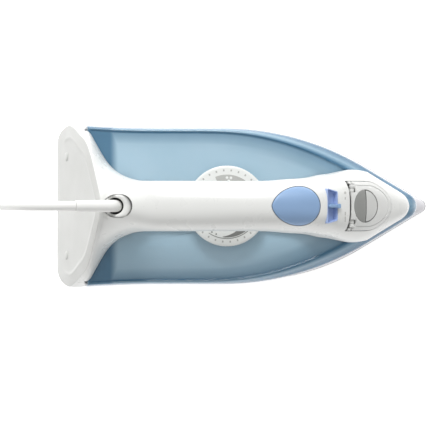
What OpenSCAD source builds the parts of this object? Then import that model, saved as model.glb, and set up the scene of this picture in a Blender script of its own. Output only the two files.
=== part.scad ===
// Steam iron as an assembly: soleplate and heater, water tank, housing with handle, controls and cord.
// X runs along the iron with the nose at +X, Z is up, and the soleplate rests on Z = 0.

/* [Body] */
// Thickness of the metal soleplate
sole_thick = 6; // [5.5:0.25:6.5]
// Half width of the water tank at its middle
tank_half = 60.5; // [59:0.1:60.7]
// Height of the flat top of the water tank
tank_top = 60; // [59:0.5:60]
// Wall of the tank
tank_wall = 2; // [1.6:0.2:2.2]
// Wall of the white housing
cover_wall = 2.4; // [2:0.1:2.6]

/* [Handle] */
// Half width of the handle
handle_half = 18.5; // [18:0.25:19]
// Top of the handle at its highest point
handle_top = 134; // [132:0.5:135]
// Height of the finger gap over its floor
gap_height = 34; // [33:0.5:34]
// Corner radius of the finger gap
gap_corner = 16; // [12:0.5:16]

/* [Controls] */
// Radius of the temperature dial
dial_radius = 30.5; // [26:0.5:31]
// Thickness of the dial
dial_thick = 4; // [3:0.25:4.5]
// Travel of the steam-boost button
button_travel = 4; // [2:0.5:4]
// Travel of the steam slider to each side
slider_travel = 7; // [5:0.5:7]

/* [Cord] */
// Diameter of the mains cord
cord_d = 7; // [6.4:0.2:7]
// Mean radius of the coil of spare cord
coil_radius = 42; // [40:1:44]

/* [Hidden] */
$fn = 48;

white = [0.97, 0.97, 0.95];
grey_white = [0.86, 0.86, 0.84];
water_blue = [0.62, 0.78, 0.88, 0.6];
button_blue = [0.5, 0.62, 0.84];
metal = [0.75, 0.76, 0.78];
brass = [0.8, 0.65, 0.3];

gap = 0.4;           // air between pieces of different bodies
seam = 0.15;         // air between shells that meet
nose_angle = 31;     // half angle of the nose
heel_x = -145;       // rearmost edge of the heel plate
heel_z = 8;          // height of that edge
heel_lean = atan(0.392);
heel_thick = 2.6;
rear_corner = 14;    // corner radius of the heel in plan
seam_x = -120;       // joint between tank and rear housing
skirt_top = 21.7;
deck_z = 60.5;       // underside of the housing over the tank
gap_x0 = -80;        // finger gap, rear and front ends
gap_x1 = 50;
gap_z0 = 63;
gap_z1 = gap_z0 + gap_height;
part_band = 11;      // width of the liner seen round the finger gap

wire_x = -121.4;     // wires of the heating element, behind the tank
dial_x = -12;
dial_z = 63.4;
valve_x = 62;
tube_x = 56;
tube_y = -9;
pump_x = 38;
pump_z = 99.6;
inlet_x = 90;
door_x0 = 77;
door_x1 = 110;
door_half = 18.4;
door_slope = 40;
swivel = [-93.4, 0, 106];

// ---------------------------------------------------------------- outlines

function arc(c, r, a0, a1, n) =
  [for (i = [0:n]) let (a = a0 + (a1 - a0) * i / n) [c.x + r * cos(a), c.y + r * sin(a)]];
function flare(x) = 1.4 * pow(max(-60 - x, 0) / 50, 2);
function half_outline(d, half, x0, big, tip, rear, corner) =
  let (
    h = x0 * sin(nose_angle) + (half - big) * cos(nose_angle) + big,
    tip_x = (h - d - tip) / sin(nose_angle),
    back = rear + d,
    side = half - d + flare(rear + corner)
  )
  concat(
    arc([tip_x, 0], tip, 0, 90 - nose_angle, 5),
    arc([x0, half - big], big - d, 90 - nose_angle, 90, 8),
    [for (i = [1:5]) let (x = -45 - 11 * i) [x, half - d + flare(x)]],
    arc([back + corner, side - corner], corner, 90, 180, 4)
  );
function mirrored(p) = concat(p, [for (i = [len(p) - 1:-1:1]) [p[i].x, -p[i].y]]);
function tank_loop(d, rear = seam_x + 0.3, corner = 3) =
  mirrored(half_outline(d, tank_half, -16, 214, 10.5, rear, corner));
sole_tip = 145;      // nose of the soleplate, radius of its tip, half width and side radius
sole_tip_r = 5.2;
sole_half = 58.5;
sole_side = 171;
sole_x0 = sole_tip - sole_tip_r
  - ((sole_half - sole_side) * cos(nose_angle) + sole_side - sole_tip_r) / sin(nose_angle);
function sole_loop(d, rear = -132, corner = 14) =
  mirrored(half_outline(d, sole_half, sole_x0, sole_side, sole_tip_r, rear, corner));
function at_z(loop, z) = [for (p = loop) [p.x, p.y, z]];
function mix(a, b, t) = [for (i = [0:len(a) - 1]) a[i] * (1 - t) + b[i] * t];

// Solid through closed rings that all have the same number of points
module loft(rings) {
  n = len(rings[0]);
  m = len(rings);
  side = [for (i = [0:m - 2]) for (j = [0:n - 1])
    let (a = i * n + j, b = i * n + (j + 1) % n)
    each [[a, a + n, b + n], [a, b + n, b]]];
  last = (m - 1) * n;
  // each end is closed by strips from side to side
  caps = [for (k = [0:floor((n - 3) / 2)])
    let (q = k + 1 == n - 2 - k ? [k, k + 1, n - 1 - k] : [k, k + 1, n - 2 - k, n - 1 - k])
    each [q, [for (i = [len(q) - 1:-1:0]) q[i] + last]]];
  polyhedron([for (r = rings) each r], concat(side, caps));
}

// ---------------------------------------------------------------- housing surface

function seg(t, x, i = 0) = (i >= len(t) - 2 || x < t[i + 1].x) ? i : seg(t, x, i + 1);
function slope(t, i) =
  let (a = t[max(i - 1, 0)], b = t[min(i + 1, len(t) - 1)]) (b.y - a.y) / (b.x - a.x);
// Smooth curve through a few control points, each [x, value]
function smooth(t, x) =
  let (
    i = seg(t, x),
    w = t[i + 1].x - t[i].x,
    s = min(max((x - t[i].x) / w, 0), 1),
    h = s * s * (3 - 2 * s)
  )
  (1 - h) * t[i].y + h * t[i + 1].y
  + (s * s * s - 2 * s * s + s) * slope(t, i) * w + (s * s * s - s * s) * slope(t, i + 1) * w;

tip_x = 125.4;       // foremost point of the beak and its radius in plan
tip_r = 11;
ridge = [
  [-146, 111], [-112, 111], [-104, 112.5], [-95, 117], [-85, 122], [-60, handle_top - 4.5],
  [-30, handle_top - 1], [0, handle_top], [20, handle_top - 0.7], [40, handle_top - 3.5], [55, 126],
  [65, 120.8], [75, 113.8], [117, 78.6], [123, 72], [tip_x, 66]
];
spring = [
  [-104, 60.3], [-85, 80], [-64, 106], [15, 106], [38, 88], [62, 62], [126, 60.3]
];
roundness = [[-104, 1.7], [-68, 2.3], [20, 2.4], [50, 2.8], [80, 3], [126, 2.4]];
grip = [
  [-68, handle_half], [15, handle_half], [33, 20.2], [46, 21.3], [55, 23.1], [64, 24.4], [73, 26.3],
  [80, 27.4], [87, 27], [93, 25.8]
];
bell = [[seam_x, 58.5], [-104, 46], [-108, 19.5], [-68, handle_half]];
function bezier(p, t) =
  pow(1 - t, 3) * p[0] + 3 * t * pow(1 - t, 2) * p[1] + 3 * t * t * (1 - t) * p[2] + t * t * t * p[3];

function beak_half(x) =
  x < 93 ? smooth(grip, x)
  : x < tip_x - tip_r + tip_r * sin(nose_angle) ? (136 - x) * tan(nose_angle)
  : sqrt(max(tip_r * tip_r - pow(x - tip_x + tip_r, 2), 0));

// Each station is [x, half width, level where the arch starts, top, roundness]
rear_stations = [for (a = [90, 67, 45, 22, 0])
  [-131 - rear_corner * sin(a), 62.5 - rear_corner * (1 - cos(a)), 35, 111, 1.6]];
mid_stations = [[-121.5, 62.5, 35, 111, 1.6]];
bell_stations = [for (t = [0.06, 0.13, 0.21, 0.3, 0.4, 0.5, 0.6, 0.7, 0.8, 0.9, 1])
  let (p = bezier(bell, t)) [p.x, p.y, smooth(spring, p.x), smooth(ridge, p.x), smooth(roundness, p.x)]];
front_xs = [-50, -30, -10, 10, 22, 34, 44, 52, 60, 68, 76, 84, 92, 100, 108, 115, 119, 122, 124, 125.1];
front_stations = [for (x = front_xs)
  [x, beak_half(x), smooth(spring, x), smooth(ridge, x), smooth(roundness, x)]];
stations = concat(rear_stations, mid_stations, bell_stations, front_stations);

function section(s, d, low) =
  let (x = s[0], b = s[1] - d, zc = s[2], top = s[3] - d, n = s[4])
  concat(
    [[x, b, low]],
    [for (i = [0:16]) let (c = cos(180 * i / 16), k = sin(180 * i / 16))
      [x, b * sign(c) * pow(abs(c), 2 / n), zc + (top - zc) * pow(abs(k), 2 / n)]],
    [[x, -b, low]]
  );
// Whole outer form of housing, handle and beak, taken in by d
module housing(d = 0, low = heel_z) {
  inside = [for (s = stations) if (s[0] < tip_x - 1.3 * d && s[1] - d > 0.5 && s[0] > heel_x - 1 + d) s];
  loft([for (s = inside) section(s, d, low)]);
}

// ---------------------------------------------------------------- shared cutters

// Flat shape in X and Z, drawn out along Y
module side_prism(wide = 140) {
  rotate([90, 0, 0]) linear_extrude(wide, center = true) children();
}
module round_box(x0, x1, z0, z1, r) {
  translate([x0 + r, z0]) square([x1 - x0 - 2 * r, z1 - z0]);
  translate([x0, z0 + r]) square([x1 - x0, z1 - z0 - 2 * r]);
  for (x = [x0 + r, x1 - r]) for (z = [z0 + r, z1 - r]) translate([x, z]) circle(r);
}
module gap_outline(out) {
  round_box(gap_x0 - out, gap_x1 + out, gap_z0 - out, gap_z1 + out, gap_corner + out);
}
// Everything behind a plane parallel to the heel, set forward by depth
module behind_heel(depth) {
  translate([heel_x, 0, heel_z]) rotate([0, heel_lean, 0])
    translate([-200 + depth, -100, -60]) cube([200, 200, 260]);
}
function ridge_z(x) = smooth(ridge, x);
// Local frame on the sloping top of the beak: x down the slope, z out of it
module on_beak(x, slope_angle) {
  translate([x, 0, ridge_z(x)]) rotate([0, slope_angle, 0]) children();
}
door_len = (door_x1 - door_x0) / cos(door_slope);
// Outline of the filler door: straight rear edge and a rounded front
module door_outline(d) {
  straight = 20;
  polygon(concat(
    [[d, door_half - d], [straight, door_half - d]],
    [for (i = [1:11]) let (a = 90 - 15 * i)
      [straight + (door_len - straight - d) * cos(a), (door_half - d) * sin(a)]],
    [[straight, d - door_half], [d, d - door_half]]
  ));
}
module door_prism(d, low, high) {
  on_beak(door_x0, door_slope) translate([0, 0, low]) linear_extrude(high - low) door_outline(d);
}
egg_x = 39.8;
egg_front = 15.2;
egg_rear = 20.4;
egg_half = 14.5;
module egg_outline(d) {
  polygon([for (i = [0:35]) let (a = i * 10, c = cos(a), k = sin(a))
    [egg_x + (c > 0 ? egg_front - d : egg_rear - d) * c,
     (egg_half - d) * sign(k) * pow(abs(k), c > 0 ? 1 : 1.25)]]);
}
track_x = 64.2;
track_slope = 33;
module track_outline(d) {
  polygon([[-4.8 + d, 12.9 - d], [4.8 - d, 10.7 - d], [4.8 - d, d - 10.7], [-4.8 + d, d - 12.9]]);
}
socket_x0 = -101.9;
socket_x1 = -80.5;
socket_r = 8.5;
module socket_outline(d) {
  for (x = [socket_x0 + socket_r, socket_x1 - socket_r]) translate([x, 0]) circle(socket_r - d);
  translate([socket_x0 + socket_r, d - socket_r])
    square([socket_x1 - socket_x0 - 2 * socket_r, 2 * (socket_r - d)]);
}

// ---------------------------------------------------------------- heater

chamber_x0 = 10;
chamber_x1 = 46;
chamber_r = 22;
element_r = 3.5;
element_z = 13;
element_half = 30;
element_x0 = -100;
element_x1 = 45;
terminal_room = 2; // half width of the slots that the element's ends lie in
steam_holes = concat(
  [for (i = [0:4]) for (y = [-15, 15]) [16 + 10 * i - (i == 4 ? 3 : 0), y * (i == 4 ? 0.7 : 1)]],
  [for (i = [0:3]) [20 + 11 * i, 0]]
);
screw_spots = [[-108, 40], [-108, -40], [92, 0]];

module soleplate() {
  color(metal) difference() {
    union() {
      linear_extrude(1.2) polygon(sole_loop(1.2));
      translate([0, 0, 1.2]) linear_extrude(sole_thick - 1.2) polygon(sole_loop(0));
    }
    for (p = steam_holes) translate([p.x, p.y, -1]) cylinder(h = sole_thick + 2, r = 1.7);
  }
}

module chamber_outline(d) {
  translate([chamber_x1, 0]) circle(chamber_r + d);
  translate([chamber_x0 - d, -chamber_r - d]) square([chamber_x1 - chamber_x0 + d, 2 * (chamber_r + d)]);
}
// Path of the heating element: two legs and a half turn, as a solid of radius r
module element_path(r) {
  for (y = [-element_half, element_half])
    translate([element_x0, y, element_z]) rotate([0, 90, 0]) cylinder(h = element_x1 - element_x0, r = r);
  translate([element_x1, 0, element_z]) rotate([0, 0, -90])
    rotate_extrude(angle = 180) translate([element_half, 0]) circle(r);
}
casting_top = 17;
module heater_casting() {
  color(metal) difference() {
    translate([0, 0, sole_thick]) linear_extrude(casting_top - sole_thick) polygon(sole_loop(9, -118, 8));
    translate([0, 0, 10]) linear_extrude(20) chamber_outline(0);
    translate([-32, -15, 10]) cube([38, 30, 20]);
    element_path(element_r + 0.05);
    for (y = [-element_half, element_half]) {
      translate([element_x0, y - element_r - 0.05, element_z])
        cube([element_x1 - element_x0, 2 * element_r + 0.1, 20]);
      translate([element_x0 - 12, y - terminal_room, element_z - 4])
        cube([12.1, 2 * terminal_room, 20]);
    }
    translate([element_x1, 0, element_z]) linear_extrude(20) intersection() {
      difference() {
        circle(element_half + element_r + 0.05);
        circle(element_half - element_r - 0.05);
      }
      translate([0, -50]) square([50, 100]);
    }
    for (p = steam_holes) translate([p.x, p.y, 0]) cylinder(h = 20, r = 2);
    for (p = screw_spots) translate([p.x, p.y, 0]) cylinder(h = 20, r = 1.6);
  }
}
module heating_element() {
  color([0.45, 0.45, 0.47]) element_path(element_r);
}
module element_terminals() {
  color(brass) for (y = [-element_half, element_half]) {
    translate([element_x0 - 9, y, element_z]) rotate([0, 90, 0]) cylinder(h = 9, r = 1.6);
    translate([element_x0 - 15, y - 0.4, element_z - 3.1]) cube([7, 0.8, 6.2]);
  }
}
cover_screws = [[16, -10], [16, 10]];
cover_thick = 1.4;
module chamber_cover() {
  color(metal) difference() {
    translate([0, 0, casting_top]) linear_extrude(cover_thick) chamber_outline(2);
    translate([valve_x, 0, 10]) cylinder(h = 12, r = 4.2);
    translate([tube_x, tube_y, 10]) cylinder(h = 12, r = 2.2);
    for (p = cover_screws) translate([p.x, p.y, 10]) cylinder(h = 12, r = 1.6);
  }
}
module chamber_screws() {
  color(metal) for (p = cover_screws) translate([p.x, p.y, casting_top - 0.2]) {
    difference() {
      translate([0, 0, 1.6]) cylinder(h = 0.9, r = 2.8);
      translate([-2, -0.4, 2.1]) cube([4, 0.8, 1]);
    }
    translate([0, 0, -3.6]) cylinder(h = 5.3, r = 1.55);
  }
}

// ---------------------------------------------------------------- heat shield and tank

function skirt_ring(t, d, z) =
  at_z(mix(sole_loop(d, -134.4), tank_loop(d + 0.3, -134.4, 14), t), z);
module heat_shield() {
  plate_low = 19.6;
  color(white) difference() {
    loft([skirt_ring(0, 1.4, 6.4), skirt_ring(0, 0.6, 7.6), skirt_ring(0.15, 0.4, 12),
      skirt_ring(0.8, 0.3, 18.5), skirt_ring(1, 0.4, 20.6), skirt_ring(1, 1.2, skirt_top)]);
    loft([skirt_ring(0, 2.8, 5), skirt_ring(0, 2.8, 7.6), skirt_ring(0.15, 2.6, 12),
      skirt_ring(0.8, 2.5, 18.5), skirt_ring(1, 2.8, plate_low)]);
    translate([valve_x, 0, 10]) cylinder(h = 20, r = 5);
    translate([tube_x, tube_y, 10]) cylinder(h = 20, r = 2.25);
    translate([dial_x, 0, 10]) cylinder(h = 20, r = 4.5);
    for (y = [-element_half, element_half]) translate([wire_x, y, 10]) cylinder(h = 20, r = 2.5);
    for (p = screw_spots) translate([p.x, p.y, 0]) cylinder(h = 40, r = 1.6);
  }
}
module shield_screws() {
  color(metal) for (p = screw_spots) translate([p.x, p.y, 0]) {
    translate([0, 0, 7]) cylinder(h = 12.9, r = 1.6);
    difference() {
      translate([0, 0, 17.05]) cylinder(h = 2.5, r = 3.2);
      translate([0, 0, 17]) cylinder(h = 0.6, r = 1.9);
    }
  }
}

tank_low = 21.9;
function tank_side(d) = [
  at_z(tank_loop(0.6 + d), tank_low), at_z(tank_loop(d), tank_low + 2),
  at_z(tank_loop(0.6 + d), tank_top - 12),
  at_z(tank_loop(1.6 + d), tank_top - 7), at_z(tank_loop(3.2 + d), tank_top - 3.5),
  at_z(tank_loop(6 + d), tank_top - 1), at_z(tank_loop(9 + d), tank_top)
];
module tank_shell() {
  down = [0, 0, -tank_wall];
  color(water_blue) difference() {
    loft(tank_side(0));
    loft([for (r = tank_side(tank_wall)) [for (p = r) p + down]]);
    translate([dial_x, 0, 40]) cylinder(h = 30, r = 5.5);
    translate([valve_x, 0, 40]) cylinder(h = 30, r = 2.6);
    translate([tube_x, tube_y, 40]) cylinder(h = 30, r = 2.25);
    translate([inlet_x, 0, 40]) cylinder(h = 30, r = 8);
  }
}
floor_z = 22.2;
floor_top = 24;
module tank_floor() {
  color(white) difference() {
    translate([0, 0, floor_z]) linear_extrude(floor_top - floor_z) polygon(tank_loop(tank_wall + 0.3));
    translate([valve_x, 0, 10]) cylinder(h = 20, r = 4.8);
    translate([tube_x, tube_y, 10]) cylinder(h = 20, r = 2.25);
    translate([dial_x, 0, 10]) cylinder(h = 20, r = 5.5);
  }
}
module tank_gasket() {
  color([0.85, 0.85, 0.85]) translate([0, 0, floor_top]) linear_extrude(1.2) difference() {
    polygon(tank_loop(tank_wall + 0.35));
    polygon(tank_loop(tank_wall + 2.4));
  }
}
module shaft_sleeve() {
  color(white) translate([dial_x, 0, skirt_top]) difference() {
    cylinder(h = deck_z - skirt_top, r = 5.4);
    translate([0, 0, -1]) cylinder(h = 60, r = 4);
  }
}
module thermostat_body() {
  color([0.9, 0.88, 0.82]) difference() {
    translate([dial_x - 13, -9, 10]) cube([26, 18, 8]);
    translate([dial_x, 0, 12]) cylinder(h = 10, r = 3.05);
  }
}
module thermostat_blades() {
  color(brass) for (y = [-12.2, 9.4]) translate([dial_x - 11, y, 11]) cube([22, 2.6, 0.8]);
}
module thermal_fuse() {
  color(white) translate([-84, -12, casting_top + 1.2]) rotate([0, 90, 0]) cylinder(h = 24, r = 1.2);
}

// ---------------------------------------------------------------- housing shells

module handle_cover() {
  color(white) difference() {
    housing(0);
    housing(cover_wall, heel_z - 2);
    behind_heel(heel_thick + seam);
    translate([-200, -100, -10]) cube([400, 200, 10 + floor_z]);
    translate([seam_x, -100, 0]) cube([300, 200, deck_z]);
    side_prism() round_box(gap_x0 - part_band, gap_x1 + part_band, 40, gap_z1 + part_band,
      gap_corner + part_band);
    translate([0, 0, 110]) linear_extrude(40) egg_outline(0);
    on_beak(track_x, track_slope) translate([0, 0, -10]) linear_extrude(30) track_outline(0);
    door_prism(0, -14, 20);
    translate([0, 0, 100]) linear_extrude(40) socket_outline(0);
    guard_room();
  }
}
module handle_base() {
  color(grey_white) difference() {
    intersection() {
      housing(0.1);
      side_prism() difference() {
        round_box(gap_x0 - part_band + seam, gap_x1 + part_band - seam, 40, gap_z1 + part_band - seam,
          gap_corner + part_band - seam);
        gap_outline(0);
        translate([-200, 0]) square([400, deck_z]);
      }
    }
    intersection() {
      housing(cover_wall + 0.4);
      side_prism(100) difference() {
        round_box(-120, 90, 30, 140, 20);
        gap_outline(2.2);
      }
    }
    translate([dial_x, 0, 50]) cylinder(h = 20, r = 3.05);
  }
}
module heel_cover() {
  color(grey_white) difference() {
    intersection() {
      housing(0);
      behind_heel(heel_thick);
    }
    behind_heel(0);
    guard_room();
    heel_frame() for (p = heel_spots) translate([0, p.y, p.x]) rotate([0, 90, 0])
      translate([0, 0, -1]) cylinder(h = 10, r = 1.6);
  }
}
// Room over the rear edge of the socket, for the guard as it swings
module guard_room() {
  translate([-112, -10.5, 110.3]) cube([12.9, 21, 20]);
}
// Frame on the heel plane: z runs up the slope, x goes into the housing
module heel_frame() {
  translate([heel_x, 0, heel_z]) rotate([0, heel_lean, 0]) children();
}
heel_spots = [[26, -38], [26, 38]];
module heel_feet() {
  color([0.7, 0.7, 0.68]) heel_frame() for (p = heel_spots) translate([0, p.y, p.x]) rotate([0, 90, 0]) {
    translate([0, 0, -0.8]) cylinder(h = 0.8, r = 3.4);
    cylinder(h = heel_thick, r = 1.58);
  }
}

// ---------------------------------------------------------------- cord entry

guard_z = 114;       // height where the guard leaves its drum
guard_tilt = 20;     // rise of the guard towards the rear
guard_len = 30;
module cord_socket() {
  color(white) difference() {
    union() {
      intersection() {
        translate([0, 0, 96]) linear_extrude(17) socket_outline(0.15);
        housing(0);
      }
      translate([swivel.x, 0, 96]) cylinder(h = 9, r = 8.3);
    }
    translate([swivel.x, 0, swivel.z]) cylinder(h = 20, r = 6.05);
    translate([swivel.x, 0, 90]) cylinder(h = 30, r = 4);
    translate([-110, -12, guard_z - 4.5]) cube([30, 24, 20]);
  }
}
module cord_guard() {
  color(white) {
    translate([swivel.x, 0, swivel.z + 0.05]) cylinder(h = guard_z - swivel.z - 0.05, r = 6);
    translate([swivel.x, 0, guard_z]) sphere(r = 6);
    translate([swivel.x, 0, guard_z]) rotate([0, guard_tilt - 90, 0]) {
      cylinder(h = guard_len, r1 = 5.2, r2 = 4.3);
      for (i = [0:3]) translate([0, 0, 10 + 5 * i]) cylinder(h = 2, r = 5.4 - 0.15 * i);
    }
  }
}
module cord_clamp() {
  color(grey_white) difference() {
    translate([-105, -9, 80]) cube([12, 18, 8]);
    translate([-99, 0, 70]) cylinder(h = 30, r = 3.6);
  }
}
block_x = -107;
module terminal_block() {
  color([0.9, 0.9, 0.86]) difference() {
    translate([block_x - 5, -16, 62]) cube([10, 32, 10]);
    for (y = [-10, 0, 10]) translate([block_x, y, 66]) cylinder(h = 10, r = 1.8);
  }
}
module wire(points, r) {
  tube(swept(points, 3), r, 6);
}
module inner_wires() {
  color([0.75, 0.6, 0.3]) {
    for (k = [-1, 1]) wire([
      [element_x0 - 15.8, k * element_half, element_z], [wire_x - 0.5, k * element_half, element_z + 1],
      [wire_x, k * element_half, 22], [wire_x, k * element_half, 50], [-115.5, k * 26, 61.5],
      [block_x - 3, k * 17.6, 66]], 1.2);
    for (y = [-10, 0, 10])
      wire([[block_x, y, 66.5], [block_x + 0.8, y, 73.5], [-99, y * 0.15, 78.5], [-99, y * 0.15, 95]], 1);
  }
}

// ---------------------------------------------------------------- filler and door

plate_deep = 13;     // depth of the filler plate under the door
module inlet_frame() {
  color(grey_white) difference() {
    union() {
      intersection() {
        housing(cover_wall + 0.5);
        union() {
          door_prism(1, -plate_deep - 2, -plate_deep);
          intersection() {
            translate([inlet_x, 0, tank_top + 0.1]) cylinder(h = 60, r = 10);
            door_prism(-10, -80, -plate_deep);
          }
        }
      }
      on_beak(door_x0, door_slope) for (k = [-1, 1]) hinge_ear(k);
    }
    translate([inlet_x, 0, 50]) cylinder(h = 60, r = 8.5);
    hinge_line() rotate([90, 0, 0]) cylinder(h = 60, r = pin_r, center = true);
  }
}
hinge_s = 5;         // hinge of the door: distance down the slope and depth under it
hinge_deep = 3.6;
knuckle_r = 1.9;
pin_r = 0.9;
ear_y0 = 10.4;
ear_y1 = 12.8;
knuckle_y0 = 13.2;
knuckle_y1 = 15.8;
module hinge_line() {
  on_beak(door_x0, door_slope) translate([hinge_s, 0, -hinge_deep]) children();
}
module along_y(y0, y1, r) {
  translate([0, y1, 0]) rotate([90, 0, 0]) cylinder(h = y1 - y0, r = r);
}
module hinge_ear(k) {
  y0 = k > 0 ? ear_y0 : -ear_y1;
  translate([hinge_s, 0, -hinge_deep]) along_y(y0, y0 + ear_y1 - ear_y0, knuckle_r);
  translate([hinge_s - 1.2, y0, -plate_deep - 1]) cube([2.4, ear_y1 - ear_y0, plate_deep + 1 - hinge_deep]);
}
module inlet_seal() {
  color([0.55, 0.57, 0.6]) translate([inlet_x, 0, tank_top - 3.4]) difference() {
    union() {
      cylinder(h = 7, r = 7.9);
      translate([0, 0, 1.4 - 1]) cylinder(h = 0.9, r = 9);
    }
    translate([0, 0, -1]) cylinder(h = 12, r = 6.5);
  }
}
window_s = 16.5;     // centre of the window down the slope
window_r = 12.2;
door_back = 2;       // rear edge of the door, clear of the housing as it swings
module window_place() {
  on_beak(door_x0, door_slope) translate([window_s, 0, 0]) children();
}
module door_panel() {
  color([0.9, 0.92, 0.93, 0.5]) difference() {
    union() {
      difference() {
        intersection() {
          housing(0);
          door_prism(gap, -12, 10);
        }
        housing(2.2);
        window_place() translate([0, 0, -8]) cylinder(h = 16, r = window_r);
        on_beak(door_x0, door_slope) {
          translate([-1, -30, -15]) cube([door_back + 1, 60, 30]);
          for (y = [-16.2, ear_y0 - 0.4]) translate([-1, y, -15]) cube([8.5, 16.6 - ear_y0, 30]);
        }
      }
      hinge_line() for (y = [-knuckle_y1, knuckle_y0]) {
        along_y(y, y + knuckle_y1 - knuckle_y0, knuckle_r);
        translate([0, y, -1.3]) cube([4.2, knuckle_y1 - knuckle_y0, 2.6]);
      }
    }
    hinge_line() rotate([90, 0, 0]) cylinder(h = 60, r = pin_r + 0.05, center = true);
  }
}
module door_window() {
  color([0.6, 0.61, 0.6, 0.8]) intersection() {
    window_place() translate([0, 0, -2.2]) cylinder(h = 3, r = window_r - 0.05);
    housing(0);
  }
}
module door_pins() {
  color(metal) hinge_line() for (y = [-knuckle_y1, ear_y0]) along_y(y, y + knuckle_y1 - ear_y0, pin_r);
}

// ---------------------------------------------------------------- slider, valve and pump

module slider_track() {
  color(button_blue) on_beak(track_x, track_slope) difference() {
    translate([0, 0, -8]) linear_extrude(5) track_outline(seam);
    translate([0, 0, -6.4]) linear_extrude(5) track_outline(1.4);
    translate([-2.2, -slider_travel - 2.6, -10]) cube([4.4, 2 * slider_travel + 5.2, 6]);
  }
}
fin_half = 1.6;
module slider_knob() {
  color(button_blue) on_beak(track_x, track_slope) {
    translate([-3, -1.9, -6]) cube([6, 3.8, 2.2]);
    translate([-3, -fin_half, -4]) cube([6, 2 * fin_half, 2]);
    translate([-4.2, -fin_half, -2.2]) cube([8.4, 2 * fin_half, 5]);
    translate([-1.7, -1.7, -10.4]) cube([3.4, 3.4, 5]);
  }
}
cam_low = 106.2;     // underside of the cam over the valve rod
cam_slope = atan(1 / 6);
cam_half = slider_travel + 1.4;
module slider_cam() {
  color(grey_white) difference() {
    union() {
      translate([valve_x - 4.5, -cam_half, cam_low - 2]) cube([9, 2 * cam_half, 4.4]);
      translate([valve_x - 4.5, -2.4, cam_low]) cube([3, 4.8, 5.2]);
    }
    translate([valve_x, 0, cam_low]) rotate([-cam_slope, 0, 0])
      translate([-6, -20, -10]) cube([12, 40, 10]);
  }
}
rod_top = 105.3;
module valve_rod() {
  color(metal) {
    translate([valve_x, 0, 26.2]) cylinder(h = rod_top - 2 - 26.2, r = 2);
    translate([valve_x, 0, rod_top - 2]) sphere(r = 2);
    translate([valve_x, 0, 20.5]) cylinder(h = 6, r = 1.55);
  }
}
module valve_seat() {
  color(brass) translate([valve_x, 0, casting_top - 1]) difference() {
    cylinder(h = 7, r = 4.15);
    translate([0, 0, -1]) cylinder(h = 10, r = 1.6);
  }
}
module pump_body() {
  color(grey_white) translate([pump_x, 0, pump_z]) difference() {
    cylinder(h = 15, r = 9);
    translate([0, 0, 2]) cylinder(h = 20, r = 7.05);
    rotate([0, 0, tube_turn]) translate([0, 0, outlet]) rotate([0, 90, 0]) cylinder(h = 20, r = 1);
  }
}
outlet = 3.1;        // height of the pump's outlet over its base
tube_turn = atan2(tube_y, tube_x - pump_x);
tube_run = norm([tube_x - pump_x, tube_y]);
module pump_tube() {
  color([0.8, 0.8, 0.8]) difference() {
    union() {
      translate([pump_x, 0, pump_z + outlet]) rotate([0, 0, tube_turn]) rotate([0, 90, 0])
        translate([0, 0, 8.95]) cylinder(h = tube_run - 8.95, r = 2.2);
      translate([tube_x, tube_y, pump_z + outlet]) sphere(r = 2.2);
      translate([tube_x, tube_y, casting_top]) cylinder(h = pump_z + outlet - casting_top, r = 2.2);
    }
    translate([tube_x, tube_y, 10]) cylinder(h = pump_z - 6, r = 1.1);
    translate([pump_x - 10, -10, pump_z - 1]) cube([10 + 8.8, 20, 20]);
  }
}
module pump_spring() {
  turns = 3.5;
  low = pump_z + 2.6;
  points = [for (i = [0:42]) let (t = i / 42)
    [pump_x + 5 * cos(360 * turns * t), 5 * sin(360 * turns * t), low + button_travel * t]];
  color(metal) tube(points, 0.4, 6);
}
piston_low = pump_z + 4.4 + button_travel;
module pump_piston() {
  color(grey_white) translate([pump_x, 0, piston_low]) {
    cylinder(h = 3, r = 7);
    cylinder(h = cap_hollow - piston_low, r = 3.4);
  }
}
module piston_ring() {
  color([0.3, 0.3, 0.3]) translate([pump_x, 0, piston_low - 1]) cylinder(h = 1, r = 6.6);
}
cap_hollow = 123;
module button_cap() {
  color(button_blue) difference() {
    intersection() {
      housing(-0.7);
      translate([0, 0, 118]) linear_extrude(30) egg_outline(gap);
    }
    translate([0, 0, 110]) linear_extrude(cap_hollow - 110) egg_outline(2.2);
  }
}

// ---------------------------------------------------------------- dial

module dial_knob() {
  color(white) difference() {
    translate([dial_x, 0, dial_z]) union() {
      cylinder(h = dial_thick - 1, r = dial_radius);
      translate([0, 0, dial_thick - 1]) cylinder(h = 1, r1 = dial_radius, r2 = dial_radius - 1);
    }
    translate([dial_x, 0, dial_z - 1]) cylinder(h = 3, r = 3.02);
  }
}
module dial_shaft() {
  color(brass) translate([dial_x, 0, 12.2]) cylinder(h = dial_z + 2 - 12.2, r = 3);
}

// ---------------------------------------------------------------- mains cord

cord_r = cord_d / 2;
floor_r = 3.8;       // height of the centre line of cord on the floor
coil_x = -330;       // centre of the coil of spare cord
lane = cord_d + 0.2; // distance between neighbouring turns, in three rows and three layers
guard_end = [swivel.x - guard_len * cos(guard_tilt), 0, guard_z + guard_len * sin(guard_tilt)];
lead_route = [
  guard_end, [-134, 0, 127], [-149, 0, 124], [-162, 0, 113], [-172, 0, 94], [-180, 0, 70], [-188, 0, 44],
  [-199, 0, 22], [-216, -2, 8], [-238, -7, floor_r], [-262, -19, floor_r], [-286, -34, floor_r],
  [-308, -45, floor_r], [coil_x, -coil_radius - lane, floor_r]
];
tail_route = [
  [coil_x, coil_radius, floor_r + 2 * lane], [-312, 43.5, 18.2], [-296, 49, 18], [-281, 56, 18],
  [-270, 60.5, 18], [-262, 62, 18]
];
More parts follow.
